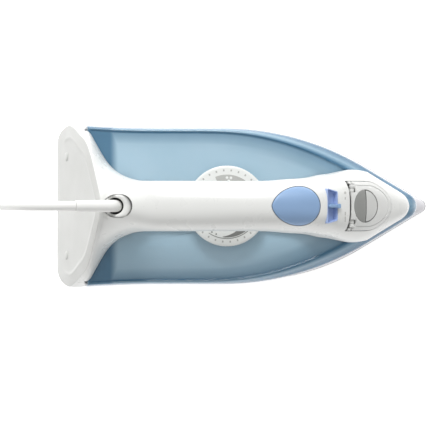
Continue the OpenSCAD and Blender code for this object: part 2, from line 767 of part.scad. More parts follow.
// Catmull-Rom point at t between the points i and i + 1 of a route
function route_point(p, i, t) =
  let (a = p[max(i - 1, 0)], b = p[i], c = p[i + 1], d = p[min(i + 2, len(p) - 1)])
  0.5 * (2 * b + (c - a) * t + (2 * a - 5 * b + 4 * c - d) * t * t + (3 * b - 3 * c + d - a) * t * t * t);
function swept(p, steps) = concat(
  [for (i = [0:len(p) - 2]) for (k = [0:steps - 1]) route_point(p, i, k / steps)],
  [p[len(p) - 1]]
);
function unit(v) = v / norm(v);
function tube_ring(q, i, r, sides) =
  let (
    t = unit(q[min(i + 1, len(q) - 1)] - q[max(i - 1, 0)]),
    u = unit(cross(abs(t.y) > 0.9 ? [1, 0, 0] : [0, 1, 0], t)),
    v = cross(t, u)
  )
  [for (k = [0:sides - 1]) q[i] + r * (u * cos(360 * k / sides) + v * sin(360 * k / sides))];
module tube(points, r, sides) {
  loft([for (i = [0:len(points) - 1]) tube_ring(points, i, r, sides)]);
}
cord_sides = 10;
// Radius of a ten-sided ring with the area of the round cord
ring_r = cord_r * sqrt(2 * PI / (cord_sides * sin(360 / cord_sides)));
module cord_lead() {
  color(white) tube(swept(lead_route, 2), ring_r, cord_sides);
}
coil_low = 0.1;
coil_wide = 2 * lane + cord_d;
coil_high = 2 * lane + cord_d + 0.4;
module cord_coil() {
  color(white) translate([coil_x, 0, coil_low]) rotate_extrude()
    translate([coil_radius - coil_wide / 2, 0]) square([coil_wide, coil_high]);
}
module cord_tail() {
  color(white) tube(swept(tail_route, 2), ring_r, cord_sides);
}
module cord_tie() {
  color(grey_white) translate([coil_x - coil_radius, 0, coil_low]) difference() {
    translate([-coil_wide / 2 - 1.2, -3, 0]) cube([coil_wide + 2.4, 6, coil_high + 1]);
    translate([-coil_wide / 2 - 0.2, -4, -1]) cube([coil_wide + 0.4, 8, coil_high + 1]);
  }
}
plug_at = tail_route[len(tail_route) - 1];
module plug_relief() {
  color(white) translate(plug_at) rotate([0, 90, 0]) cylinder(h = 22, r1 = 5, r2 = 8);
}
plug_r = 17.9;
module plug_body() {
  color(white) translate(plug_at + [22, 0, 0]) rotate([0, 90, 0]) {
    cylinder(h = 12, r1 = 9, r2 = plug_r);
    translate([0, 0, 12]) cylinder(h = 20, r = plug_r);
  }
}
module plug_pins() {
  color(metal) for (y = [-9.5, 9.5]) translate(plug_at + [54, y, 0]) rotate([0, 90, 0]) {
    cylinder(h = 17, r = 2.4);
    translate([0, 0, 17]) cylinder(h = 2, r1 = 2.4, r2 = 1.4);
  }
}

soleplate();
heater_casting();
heating_element();
element_terminals();
chamber_cover();
chamber_screws();
heat_shield();
shield_screws();
tank_shell();
tank_floor();
tank_gasket();
shaft_sleeve();
thermostat_body();
thermostat_blades();
thermal_fuse();
handle_cover();
handle_base();
heel_cover();
heel_feet();
cord_socket();
cord_clamp();
terminal_block();
inner_wires();
inlet_frame();
inlet_seal();
slider_track();
pump_body();
pump_tube();
pump_spring();
valve_seat();
dial_knob();
dial_shaft();
button_cap();
pump_piston();
piston_ring();
slider_knob();
slider_cam();
valve_rod();
door_panel();
door_window();
door_pins();
cord_guard();
cord_lead();
cord_coil();
cord_tail();
cord_tie();
plug_body();
plug_pins();
plug_relief();
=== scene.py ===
"""Looks of the steam iron: camera and cord, then materials, shells, controls, and the studio round them."""
from math import atan, atan2, copysign, cos, hypot, pi, radians, sin, sqrt, tan

import bmesh
import bpy
import numpy as np
from mathutils import Matrix, Vector


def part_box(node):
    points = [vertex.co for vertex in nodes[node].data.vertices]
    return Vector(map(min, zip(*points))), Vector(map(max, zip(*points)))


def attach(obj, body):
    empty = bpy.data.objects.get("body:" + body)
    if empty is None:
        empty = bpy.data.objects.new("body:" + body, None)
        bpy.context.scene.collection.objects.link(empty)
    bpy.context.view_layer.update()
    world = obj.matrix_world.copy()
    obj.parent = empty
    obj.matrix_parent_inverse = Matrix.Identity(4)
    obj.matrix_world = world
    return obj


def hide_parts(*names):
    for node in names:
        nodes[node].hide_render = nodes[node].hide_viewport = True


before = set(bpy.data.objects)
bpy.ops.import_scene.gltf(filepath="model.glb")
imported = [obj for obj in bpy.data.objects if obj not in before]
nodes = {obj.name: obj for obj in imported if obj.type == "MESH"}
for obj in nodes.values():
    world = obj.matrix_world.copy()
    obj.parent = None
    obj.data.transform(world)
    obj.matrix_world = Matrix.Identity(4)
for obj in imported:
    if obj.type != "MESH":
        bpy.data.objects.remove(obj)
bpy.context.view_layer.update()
MM = 0.001
QUARTER = pi / 2
ORIGIN = Matrix.Identity(4)


def add_object(name, data):
    """A new object in the scene."""
    obj = bpy.data.objects.new(name, data)
    bpy.context.scene.collection.objects.link(obj)
    return obj


# ---- camera

CAMERA_PLACE = (-0.021, 0, 1.400)
camera_data = bpy.data.cameras.new("camera")
camera_data.sensor_width = 36
camera_data.lens = 148.4
camera_data.shift_y = -0.0209
camera = add_object("camera", camera_data)
camera.location = CAMERA_PLACE
bpy.context.scene.camera = camera


# ---- mesh helpers (sizes in millimetres)

def new_object(name, verts, faces):
    """A mesh object from points in millimetres."""
    mesh = bpy.data.meshes.new(name)
    mesh.from_pydata([tuple(float(c) * MM for c in v) for v in verts], [], [tuple(f) for f in faces])
    mesh.validate()
    return add_object(name, mesh)


def fix_normals(obj):
    """Makes every face of a closed mesh look outwards."""
    work = bmesh.new()
    work.from_mesh(obj.data)
    bmesh.ops.recalc_face_normals(work, faces=work.faces)
    work.to_mesh(obj.data)
    work.free()


def loft(rings, closed):
    """Points and faces through rings with equal numbers of points."""
    count = len(rings[0])
    verts = [p for ring in rings for p in ring]
    faces = []
    for i in range(len(rings) if closed else len(rings) - 1):
        a = i * count
        b = ((i + 1) % len(rings)) * count
        for j in range(count):
            k = (j + 1) % count
            faces.append((a + j, a + k, b + k, b + j))
    if not closed:
        faces.append(tuple(reversed(range(count))))
        last = (len(rings) - 1) * count
        faces.append(tuple(last + j for j in range(count)))
    return verts, faces


def lofted(name, rings, closed=False):
    obj = new_object(name, *loft(rings, closed))
    fix_normals(obj)
    return obj


def frame_at(x, y, z, turn=0.0, axis="Y", base=ORIGIN):
    """A place in a frame, turned about one of its axes."""
    return base @ Matrix.Translation((x, y, z)) @ Matrix.Rotation(turn, 4, axis)


def around(sides):
    """Equal angles round a full turn."""
    return [2 * pi * i / sides for i in range(sides)]


def prism(name, outline, low, high, place=ORIGIN):
    """A straight extrusion of an outline along the Z axis of place."""
    return lofted(name, [[place @ Vector((p[0], p[1], z)) for p in outline] for z in (low, high)])


def side_prism(name, outline, half):
    """An extrusion along Y of an outline in X and Z."""
    rings = [[(p[0], y, p[1]) for p in outline] for y in (-half, half)]
    return lofted(name, rings)


def apply_modifiers(obj):
    graph = bpy.context.evaluated_depsgraph_get()
    mesh = bpy.data.meshes.new_from_object(obj.evaluated_get(graph))
    obj.modifiers.clear()
    obj.data = mesh


def boolean(obj, others, operation="DIFFERENCE"):
    """Cuts the others from obj, or keeps what they share, and removes them."""
    for other in others:
        step = obj.modifiers.new("cut", "BOOLEAN")
        step.operation = operation
        step.solver = "MANIFOLD"
        step.object = other
        apply_modifiers(obj)
        bpy.data.objects.remove(other)


def soften(obj, width=0.5, segments=2, angle=35, smooth_angle=40, weld=0.02):
    """Rounds sharp edges by width and shades the rest smooth."""
    if weld:
        work = bmesh.new()
        work.from_mesh(obj.data)
        bmesh.ops.remove_doubles(work, verts=work.verts, dist=weld * MM)
        bmesh.ops.dissolve_degenerate(work, edges=work.edges, dist=weld / 2 * MM)
        work.to_mesh(obj.data)
        work.free()
    if width:
        bevel = obj.modifiers.new("bevel", "BEVEL")
        bevel.width = width * MM
        bevel.segments = segments
        bevel.limit_method = "ANGLE"
        bevel.angle_limit = radians(angle)
        apply_modifiers(obj)
    obj.data.shade_smooth()
    obj.data.set_sharp_from_angle(angle=radians(smooth_angle))
    return obj


def shade_like(obj, source):
    """Gives obj the smooth shading of an uncut surface where it lies on it."""
    source.data.shade_smooth()
    normals = obj.modifiers.new("normals", "DATA_TRANSFER")
    normals.object = source
    normals.use_loop_data = True
    normals.data_types_loops = {"CUSTOM_NORMAL"}
    normals.loop_mapping = "POLYINTERP_NEAREST"
    normals.use_max_distance = True
    normals.max_distance = 0.03 * MM
    apply_modifiers(obj)
    bpy.data.objects.remove(source)


def finish(obj, body, slot, material, *replaced):
    """Material, body and the CAD nodes that a piece stands for."""
    obj.data.materials.clear()
    obj.data.materials.append(material)
    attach(obj, body)
    if replaced:
        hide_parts(*replaced)
    return obj


# ---- mains cord

CORD_D = 7.0
LANE = CORD_D + 0.2
FLOOR_R = 3.8
COIL_X = -330.0
COIL_RADIUS = 42.0
SWIVEL = (-93.4, 0.0, 106.0)
GUARD_Z = 114.0
GUARD_TILT = radians(20)
GUARD_LEN = 30.0
guard_end = (
    SWIVEL[0] - GUARD_LEN * cos(GUARD_TILT), 0.0, GUARD_Z + GUARD_LEN * sin(GUARD_TILT))
lead_route = [
    guard_end, (-134, 0, 127), (-149, 0, 124), (-162, 0, 113), (-172, 0, 94), (-180, 0, 70),
    (-188, 0, 44), (-199, 0, 22), (-216, -2, 8), (-238, -7, FLOOR_R), (-262, -19, FLOOR_R),
    (-286, -34, FLOOR_R), (-308, -45, FLOOR_R), (COIL_X, -COIL_RADIUS - LANE, FLOOR_R)]
tail_route = [
    (COIL_X, COIL_RADIUS, FLOOR_R + 2 * LANE), (-312, 43.5, 18.2), (-296, 49, 18), (-281, 56, 18),
    (-270, 60.5, 18), (-262, 62, 18)]


def route_points(route, steps):
    """Catmull-Rom curve through the points of a route."""
    p = [np.array(q, float) for q in route]
    out = []
    for i in range(len(p) - 1):
        a, b, c, d = p[max(i - 1, 0)], p[i], p[i + 1], p[min(i + 2, len(p) - 1)]
        for k in range(steps):
            t = k / steps
            out.append(0.5 * (2 * b + (c - a) * t + (2 * a - 5 * b + 4 * c - d) * t * t
                              + (3 * b - 3 * c + d - a) * t ** 3))
    return out + [p[-1]]


def coil_points():
    """Two turns inwards, two outwards on top of them, and the rest inwards on those."""
    out = []
    total = 5.5
    rise = 0.35
    settle = 0.2
    steps = 40
    outer = COIL_RADIUS + LANE
    stops = [0, 2, 2 + rise, 4 + rise, 4 + 2 * rise, 6 + 2 * rise]
    for i in range(1, int(total * steps)):
        t = i / steps
        r = outer - LANE * float(np.interp(t, stops, [0, 2, 2, 0, 0, 2]))
        layer = float(np.interp(t, stops, [0, 0, 1, 1, 2, 2]))
        blend = max(0, (t - total + settle) / settle)
        r = r * (1 - blend) + COIL_RADIUS * blend
        angle = -QUARTER - 2 * pi * t
        out.append(np.array((COIL_X + r * cos(angle), r * sin(angle), FLOOR_R + LANE * layer)))
    return out


cord_line = route_points(lead_route, 8)[:-1] + coil_points() + route_points(tail_route, 8)
curve = bpy.data.curves.new("mains_cord", "CURVE")
curve.dimensions = "3D"
curve.bevel_depth = CORD_D / 2 * MM
curve.bevel_resolution = 5
curve.use_fill_caps = True
spline = curve.splines.new("POLY")
spline.points.add(len(cord_line) - 1)
for point, place in zip(spline.points, cord_line):
    point.co = (place[0] * MM, place[1] * MM, place[2] * MM, 1)
spline.use_smooth = True
cord = add_object("mains_cord", curve)

# ---- materials

class Nodes:
    """Short ways to add and link shader nodes."""

    def __init__(self, name):
        self.material = bpy.data.materials.new(name)
        self.material.use_nodes = True
        self.tree = self.material.node_tree
        self.shader = self.tree.nodes["Principled BSDF"]

    def add(self, kind, **values):
        node = self.tree.nodes.new(kind)
        for key, value in values.items():
            if hasattr(node, key):
                setattr(node, key, value)
            else:
                node.inputs[key.replace("_", " ")].default_value = value
        return node

    def link(self, source, target):
        self.tree.links.new(source, target)

    def place(self):
        return self.add("ShaderNodeTexCoord").outputs["Object"]

    def noise(self, scale, detail=2.0, stretch=None):
        noise = self.add("ShaderNodeTexNoise", Scale=scale, Detail=detail)
        source = self.place()
        if stretch:
            mapping = self.add("ShaderNodeMapping", Scale=stretch)
            self.link(source, mapping.inputs["Vector"])
            source = mapping.outputs["Vector"]
        self.link(source, noise.inputs["Vector"])
        return noise.outputs["Fac"]

    def ramp(self, factor, low, high, start=0.35, end=0.65):
        ramp = self.add("ShaderNodeValToRGB")
        ramp.color_ramp.elements[0].position = start
        ramp.color_ramp.elements[1].position = end
        ramp.color_ramp.elements[0].color = (*low, 1)
        ramp.color_ramp.elements[1].color = (*high, 1)
        self.link(factor, ramp.inputs["Fac"])
        return ramp.outputs["Color"]

    def color(self, source):
        self.link(source, self.shader.inputs["Base Color"])

    def gloss(self, factor, low, high, *span):
        """Roughness that runs from low to high."""
        self.link(self.ramp(factor, (low,) * 3, (high,) * 3, *span), self.shader.inputs["Roughness"])

    def constants(self, **values):
        """Inputs of the shader that are the same all over."""
        for key, value in values.items():
            self.shader.inputs[key.replace("_", " ")].default_value = value

    def bump(self, height, strength, distance=0.0002):
        bump = self.add("ShaderNodeBump", Strength=strength, Distance=distance)
        self.link(height, bump.inputs["Height"])
        self.link(bump.outputs["Normal"], self.shader.inputs["Normal"])


def shade(color, factor):
    return tuple(min(c * factor, 1.0) for c in color)


def plastic(name, color, rough, grain, spread, coat=0.0):
    """Moulded plastic: a very slight mottle, a fine grain and uneven gloss."""
    m = Nodes(name)
    m.color(m.ramp(m.noise(22, 4), shade(color, 1 - spread), shade(color, 1 + spread)))
    m.gloss(m.noise(60, 3), rough - 0.05, rough + 0.05)
    m.constants(IOR=1.48, Coat_Weight=coat, Coat_Roughness=0.15)
    m.bump(m.noise(2600, 2), grain)
    return m.material


def metal(name, color, rough, stretch, grain):
    """Metal with fine drawn lines along one axis and slightly varied tone."""
    m = Nodes(name)
    m.constants(Metallic=1)
    lines = m.noise(400, 5, stretch)
    m.color(m.ramp(lines, shade(color, 0.9), shade(color, 1.06), 0.3, 0.7))
    m.gloss(lines, rough - 0.07, rough + 0.1, 0.3, 0.7)
    m.bump(lines, grain)
    return m.material


def tank_material():
    """Blue translucent plastic with painted shade: darker blue where the mesh says so, at the walls seen
    edge-on and the groove, and in a strip at the rear.
    """
    m = Nodes("tank_translucent")
    # painted shade read from the mesh: darker blue at the walls seen edge-on and along the groove
    edge = m.add("ShaderNodeAttribute", attribute_name="edge")
    mottle = m.noise(30, 3)
    pale = m.ramp(mottle, (0.545, 0.775, 0.92), (0.585, 0.80, 0.94))
    shaded_blue = m.ramp(mottle, (0.035, 0.17, 0.315), (0.045, 0.20, 0.36))
    mix = m.add("ShaderNodeMix", data_type="RGBA")
    axes = m.add("ShaderNodeSeparateXYZ")
    m.link(m.place(), axes.inputs["Vector"])
    # painted shade: a darker strip at the rear of the tank, where its inside is seen in shade
    rear = m.add("ShaderNodeMapRange", interpolation_type="SMOOTHSTEP", From_Min=-0.101, From_Max=-0.093,
                 To_Min=0.85, To_Max=0.0)
    m.link(axes.outputs["X"], rear.inputs["Value"])
    shade_share = m.add("ShaderNodeMath", operation="MAXIMUM")
    m.link(edge.outputs["Fac"], shade_share.inputs[0])
    m.link(rear.outputs["Result"], shade_share.inputs[1])
    m.link(shade_share.outputs["Value"], mix.inputs["Factor"])
    color_a, color_b = [socket for socket in mix.inputs if socket.type == "RGBA"]
    m.link(pale, color_a)
    m.link(shaded_blue, color_b)
    color = [o for o in mix.outputs if o.type == "RGBA"][0]
    m.color(color)
    m.gloss(m.noise(80, 2), 0.10, 0.17)
    m.constants(IOR=1.46, Transmission_Weight=0.3, Coat_Weight=0.4, Coat_Roughness=0.08)
    m.bump(m.noise(900, 2), 0.02)
    return m.material


def clear_material(name, color, weight, rough):
    """Clear or tinted moulding with faint flow marks."""
    m = Nodes(name)
    m.color(m.ramp(m.noise(45, 3), shade(color, 0.97), shade(color, 1.02)))
    m.gloss(m.noise(70, 2), rough, rough + 0.06)
    m.constants(IOR=1.46, Transmission_Weight=weight, Coat_Weight=0.5, Coat_Roughness=0.05)
    m.bump(m.noise(300, 2), 0.02)
    return m.material


WHITE = plastic("white_shell", (0.79, 0.795, 0.775), 0.30, 0.03, 0.012, 0.12)
LINER = plastic("white_liner", (0.76, 0.765, 0.745), 0.36, 0.05, 0.015)
HEEL_GREY = plastic("heel_grey", (0.61, 0.615, 0.595), 0.38, 0.06, 0.015)
SKIRT_WHITE = plastic("skirt_white", (0.74, 0.73, 0.76), 0.34, 0.05, 0.015)
TRIM = plastic("inner_plastic", (0.74, 0.745, 0.73), 0.42, 0.07, 0.03)
BLUE = plastic("button_blue", (0.25, 0.385, 0.60), 0.42, 0.05, 0.03)
BLUE_DEEP = plastic("slider_blue", (0.37, 0.48, 0.76), 0.42, 0.05, 0.03)
PRINT_PALE = plastic("print_pale", (0.50, 0.50, 0.48), 0.5, 0.03, 0.04)
PRINT_MID = plastic("print_mid", (0.22, 0.225, 0.215), 0.5, 0.03, 0.05)
DIAL_WHITE = plastic("dial_white", (0.84, 0.85, 0.83), 0.33, 0.04, 0.012, 0.1)
CORD = plastic("cord_white", (0.85, 0.85, 0.83), 0.45, 0.12, 0.02)
RIM = plastic("window_rim", (0.10, 0.102, 0.098), 0.3, 0.03, 0.05, 0.2)
# painted shade: the near-black ball stands in for the shade deep in the cord socket
BALL_SHADE = plastic("swivel_ball_painted_shade", (0.028, 0.029, 0.03), 0.5, 0.1, 0.1)
SEAL = plastic("seal_rubber", (0.42, 0.44, 0.46), 0.6, 0.2, 0.05)
CERAMIC = plastic("ceramic_body", (0.84, 0.81, 0.74), 0.25, 0.05, 0.03, 0.3)
WIRE = plastic("wire_sleeve", (0.62, 0.50, 0.27), 0.5, 0.1, 0.06)
SOLE = metal("sole_metal", (0.66, 0.665, 0.67), 0.22, (1, 20, 20), 0.05)
CAST = metal("cast_aluminium", (0.55, 0.55, 0.55), 0.48, (1, 1, 1), 0.3)
STEEL = metal("plated_steel", (0.60, 0.61, 0.62), 0.25, (8, 8, 1), 0.05)
BRASS = metal("brass", (0.72, 0.55, 0.25), 0.3, (8, 8, 1), 0.06)
TANK = tank_material()
FROST = clear_material("frosted_door", (0.85, 0.855, 0.835), 0.15, 0.3)
CLEAR = clear_material("clear_lens", (0.78, 0.785, 0.765), 0.2, 0.1)
TINT = clear_material("tinted_window", (0.36, 0.365, 0.35), 0.2, 0.1)

# ---- outlines of sole and tank

NOSE_DEGREES = 31
NOSE = radians(NOSE_DEGREES)
IRON_TIP = 145


def arc(cx, cy, r, a0, a1, n):
    angles = [radians(a0 + (a1 - a0) * i / n) for i in range(n + 1)]
    return [(cx + r * cos(a), cy + r * sin(a)) for a in angles]


def flare(x):
    """How much the sides widen towards the rear."""
    return 1.4 * (max(-60 - x, 0) / 50) ** 2


def outline(d, half, x0, big, tip, rear, corner):
    """Outline taken in by d: nose, an arc of radius big up to x0, side, rear corner, then mirrored."""
    turn = 90 - NOSE_DEGREES
    h = x0 * sin(NOSE) + (half - big) * cos(NOSE) + big
    tip_x = (h - d - tip) / sin(NOSE)
    back = rear + d
    side = half - d + flare(back + corner)
    points = arc(tip_x, 0, tip, 0, turn, 12)
    points += arc(x0, half - big, big - d, turn, 90, 40)
    points += [(x, half - d + flare(x)) for x in np.linspace(x0 - 2, back + corner, 26)[:-1]]
    points += arc(back + corner, side - corner, corner, 90, 180, 10)
    return points + [(x, -y) for x, y in reversed(points[1:])]


SOLE_HALF = 58.5
SOLE_ARC = 171
SOLE_TIP = 5.2
SOLE_X0 = IRON_TIP - SOLE_TIP - (
    (SOLE_HALF - SOLE_ARC) * cos(NOSE) + SOLE_ARC - SOLE_TIP) / sin(NOSE)


def sole_loop(d, rear=-132.0, corner=14.0):
    return outline(d, SOLE_HALF, SOLE_X0, SOLE_ARC, SOLE_TIP, rear, corner)


def tank_loop(d, rear=-119.7, corner=0.7):
    return outline(d, half=60.5, x0=-16, big=214, tip=10.5, rear=rear, corner=corner)


def at_z(loop, z):
    return [(x, y, z) for x, y in loop]


def mix_points(p, q, t):
    return tuple(a * (1 - t) + b * t for a, b in zip(p, q))


def mix_loops(a, b, t):
    return [mix_points(p, q, t) for p, q in zip(a, b)]


def ease(x, low, high):
    """A smooth step from 0 at low to 1 at high."""
    t = min(max((x - low) / (high - low), 0), 1)
    return t * t * (3 - 2 * t)


# ---- surface of housing, handle and beak

TIP_X = 125.4
TIP_R = 11.0
TIP_CENTRE = TIP_X - TIP_R
NOSE_FROM = TIP_CENTRE + TIP_R * sin(NOSE)
SEAM_X = -120.0
DECK_Z = 60.5
HANDLE_HALF = 18.5
RIDGE = [(-146, 111), (-112, 111), (-104, 112.5), (-95, 117), (-85, 122), (-60, 129.5), (-30, 133),
         (0, 134), (20, 133.3), (40, 130.5), (55, 126), (65, 120.8), (75, 113.8), (117, 78.6),
         (123, 72), (TIP_X, 66)]
SPRING = [(-104, 60.3), (-85, 80), (-64, 106), (15, 106), (38, 88), (62, 62), (126, 60.3)]
ROUND = [(-104, 1.7), (-68, 2.3), (20, 2.4), (50, 2.8), (80, 3), (126, 2.4)]
GRIP = [(-68, HANDLE_HALF), (15, HANDLE_HALF), (33, 20.2), (46, 21.3), (55, 23.1), (64, 24.4),
        (73, 26.3), (80, 27.4), (87, 27), (93, 25.8)]
BELL = [np.array(p) for p in ((SEAM_X, 58.5), (-104, 46), (-108, 19.5), (-68, HANDLE_HALF))]
BEAK_POINT = 136
REAR_SPRING = 35
REAR_TOP = 111
REAR_ROUND = 1.6
HEEL_HALF = 62.5
HEEL_CORNER = 14.0
HEEL_CORNER_X = -131
HEEL_X = -145.0
HEEL_Z = 8.0
HEEL_LEAN = atan(0.392)
HEEL_THICK = 2.6


def smooth(table, x):
    """Smooth curve through a few control points, each (x, value)."""
    def slope(i):
        a, b = table[max(i - 1, 0)], table[min(i + 1, len(table) - 1)]
        return (b[1] - a[1]) / (b[0] - a[0])
    i = 0
    while i < len(table) - 2 and x >= table[i + 1][0]:
        i += 1
    w = table[i + 1][0] - table[i][0]
    s = min(max((x - table[i][0]) / w, 0), 1)
    h = s * s * (3 - 2 * s)
    return ((1 - h) * table[i][1] + h * table[i + 1][1]
            + (s ** 3 - 2 * s * s + s) * slope(i) * w + (s ** 3 - s * s) * slope(i + 1) * w)


def bell_point(t):
    """A place on the curve that leads from the wide rear into the handle."""
    a, b, c, d = BELL
    return (1 - t) ** 3 * a + 3 * t * (1 - t) ** 2 * b + 3 * t * t * (1 - t) * c + t ** 3 * d


def bell_half(x):
    low, high = 0.0, 1.0
    for _ in range(30):
        mid = (low + high) / 2
        if bell_point(mid)[0] < x:
            low = mid
        else:
            high = mid
    return float(bell_point(low)[1])


def half_width(x):
    """Half width of handle and beak at their widest level."""
    if x < SEAM_X:
        return float(BELL[0][1])
    if x < GRIP[0][0]:
        return bell_half(x)
    if x < GRIP[-1][0]:
        return smooth(GRIP, x)
    if x < NOSE_FROM:
        return (BEAK_POINT - x) * tan(NOSE)
    return sqrt(max(TIP_R ** 2 - (x - TIP_X + TIP_R) ** 2, 0))


def heel_half(x):
    """Half width of the housing's rear, with its round corners."""
    if x > HEEL_CORNER_X:
        return HEEL_HALF
    return HEEL_HALF - HEEL_CORNER + sqrt(max(HEEL_CORNER ** 2 - (x - HEEL_CORNER_X) ** 2, 0))


def arch(x, half, low, spring, top, n, count):
    """Section with upright sides up to spring and a superellipse of power n over them."""
    points = [(x, half, low), (x, half, (low + spring) / 2)]
    for i in range(count + 1):
        a = pi * i / count
        c, s = cos(a), abs(sin(a))
        y = half * copysign(abs(c) ** (2 / n), c)
        points.append((x, y, spring + (top - spring) * s ** (2 / n)))
    return points + [(x, -half, (low + spring) / 2), (x, -half, low)]


def housing_section(x, d=0.0, low=HEEL_Z, count=56):
    """Section across the housing at x, taken in by d."""
    rear = arch(x, heel_half(x) - d, low, REAR_SPRING, REAR_TOP - d, REAR_ROUND, count)
    top = smooth(RIDGE, x) - d
    front = arch(x, half_width(x) - d, low, smooth(SPRING, x), top, smooth(ROUND, x), count)
    return mix_loops(rear, front, ease(x, -125, -111))


def stations(step, d=0.0):
    """Where the housing is cut into sections: finer round its rear corners and its nose."""
    xs = [HEEL_CORNER_X - (HEEL_CORNER - d) * sin(radians(a)) for a in range(90, 0, -9)]
    xs += list(np.arange(HEEL_CORNER_X, 100, step))
    xs += list(np.arange(100, TIP_CENTRE, 1.5))
    return xs + [TIP_CENTRE + (TIP_R - d) * sin(radians(a)) for a in (*range(2, 88, 5), 88.5)]


def housing(name, d=0.0, low=HEEL_Z, step=1.6, count=56, span=(-150, 130)):
    """The outer form of housing, handle and beak as a closed solid, taken in by d."""
    rings = []
    for x in stations(step, d):
        if not span[0] < x < span[1]:
            continue
        ring = housing_section(x, d, low, count)
        if d and x > NOSE_FROM:
            # the nose is taken in along its radius as well
            half = sqrt(max((TIP_R - d) ** 2 - (x - TIP_X + TIP_R) ** 2, 0.01))
            old = max(ring[0][1], 0.01)
            ring = [(p[0], p[1] * half / old, p[2]) for p in ring]
        rings.append(ring)
    return lofted(name, rings)


def box_corners(x0, x1, z0, z1, r):
    """Centres of a box's four round corners."""
    return [(x1 - r, z1 - r), (x0 + r, z1 - r), (x0 + r, z0 + r), (x1 - r, z0 + r)]


def round_box(x0, x1, z0, z1, r, n=12):
    corners = enumerate(box_corners(x0, x1, z0, z1, r))
    return [p for k, (x, z) in corners for p in arc(x, z, r, 90 * k, 90 * k + 90, n)]


GAP = (-80.0, 50.0, 63.0, 97.0)
GAP_CORNER = 16.0
PART_BAND = 11.0
BEAK_SLOPE = radians(40)
DOOR_X0 = 77.0
DOOR_LEN = 33 / cos(BEAK_SLOPE)
DOOR_HALF = 18.4
TRACK_X = 64.2
TRACK_SLOPE = radians(33)


def on_beak(x, slope):
    """Frame on the top of the beak: x down the slope, z out of it."""
    return frame_at(x, 0, smooth(RIDGE, x), slope)


DOOR_FRAME = on_beak(DOOR_X0, BEAK_SLOPE)
TRACK_FRAME = on_beak(TRACK_X, TRACK_SLOPE)
HEEL_FRAME = frame_at(HEEL_X, 0, HEEL_Z, HEEL_LEAN)


def door_outline(d, back=0.0, bow=0.0):
    """The filler door: a rear edge that may bow inwards, straight sides and a round front."""
    straight = 20.0
    side = DOOR_HALF - d
    reach = DOOR_LEN - straight - d
    angles = [radians(a) for a in range(-90, 91, 6)]
    points = [(straight + reach * cos(a), side * sin(a)) for a in angles]
    rear = [(d + back + bow * (1 - (y / side) ** 2), y) for y in np.linspace(side, -side, 13)]
    return points + rear


BUTTON_X = 39.8
BUTTON_HALF = 14.5


def egg_outline(d, n=72):
    """Outline of the steam button: round in front, longer and more pointed at the rear."""
    points = []
    for a in around(n):
        c, s = cos(a), sin(a)
        length, power = (15.2, 1) if c > 0 else (20.4, 1.25)
        points.append((BUTTON_X + (length - d) * c, (BUTTON_HALF - d) * copysign(abs(s) ** power, s)))
    return points


def rounded_polygon(corners, r, n=5):
    """A convex polygon with its corners rounded."""
    points = []
    count = len(corners)
    for i in range(count):
        a, b, c = (np.array(corners[(i + k) % count], float) for k in (-1, 0, 1))
        u, v = (a - b) / np.linalg.norm(a - b), (c - b) / np.linalg.norm(c - b)
        start, end = b + u * r, b + v * r
        for k in range(n + 1):
            t = k / n
            points.append(tuple((1 - t) ** 2 * start + 2 * t * (1 - t) * b + t * t * end))
    return points


def track_outline(d, r=1.2):
    """Outline of the slider's track, wider at its rear, taken in by d."""
    x, rear, front = 4.8 - d, 12.9 - d, 10.7 - d
    return rounded_polygon([(-x, -rear), (x, -front), (x, front), (-x, rear)], r)


def stadium(x0, x1, r, n=16):
    return arc(x1 - r, 0, r, -90, 90, n) + arc(x0 + r, 0, r, 90, 270, n)


def top_z(x, y):
    """Height of the housing's upper surface over a place."""
    half, spring, top, n = half_width(x), smooth(SPRING, x), smooth(RIDGE, x), smooth(ROUND, x)
    k = min(abs(y) / half, 1)
    return spring + (top - spring) * (1 - k ** n) ** (1 / n)


def half_at(x, z):
    """Half width of the housing at a place, read from its section."""
    side = [p for p in housing_section(x) if p[1] >= 0]
    return float(np.interp(z, [p[2] for p in side], [p[1] for p in side]))


def block(name, x, y, z, place=ORIGIN):
    """A box from its ranges in X, Y and Z."""
    return prism(name, [(x[0], y[0]), (x[1], y[0]), (x[1], y[1]), (x[0], y[1])], z[0], z[1], place)


def on_turn(place, r, a, h):
    """A point at radius r, angle a and height h about the Z axis of place."""
    return place @ Vector((r * cos(a), r * sin(a), h))


def lathe(name, profile, place, sides=48):
    """A turned solid from (radius, height) pairs, about the Z axis of place."""
    return lofted(name, [[on_turn(place, r, a, h) for a in around(sides)] for r, h in profile])


def ring_lathe(name, profile, place, sides):
    """A turned ring: the profile is a closed loop of (radius, height) pairs."""
    rings = [[on_turn(place, r, a, h) for r, h in profile] for a in around(sides)]
    return lofted(name, rings, closed=True)


def tube(name, path, radii, sides):
    """A tube along a path in a plane of constant Y."""
    rings = []
    for i, p in enumerate(path):
        ahead = Vector(path[min(i + 1, len(path) - 1)]) - Vector(path[max(i - 1, 0)])
        t = ahead.normalized()
        u = Vector((0, 1, 0))
        v = t.cross(u)
        r = float(radii[i])
        rings.append([Vector(p) + r * (u * cos(a) + v * sin(a)) for a in around(sides)])
    return lofted(name, rings)


def joined(name, parts):
    """One object from several."""
    work = bmesh.new()
    for part in parts:
        work.from_mesh(part.data)
        bpy.data.objects.remove(part)
    mesh = bpy.data.meshes.new(name)
    work.to_mesh(mesh)
    work.free()
    return add_object(name, mesh)


# ---- white housing

COVER_WALL = 2.4
SEAM = 0.15
FLOOR_Z = 22.2
WHOLE_X = (-200, 200)
WHOLE_Y = (-100, 100)
SOCKET = (-101.9, -80.5, 8.5)
SOCKET_BORE = 6.1
# room for the cord's guard to swing
GUARD_ROOM = ((-112, -99.1), (-10.5, 10.5), (110.3, 130.3))
DIAL_X = -12.0
DIAL_PLACE = frame_at(DIAL_X, 0, 0)


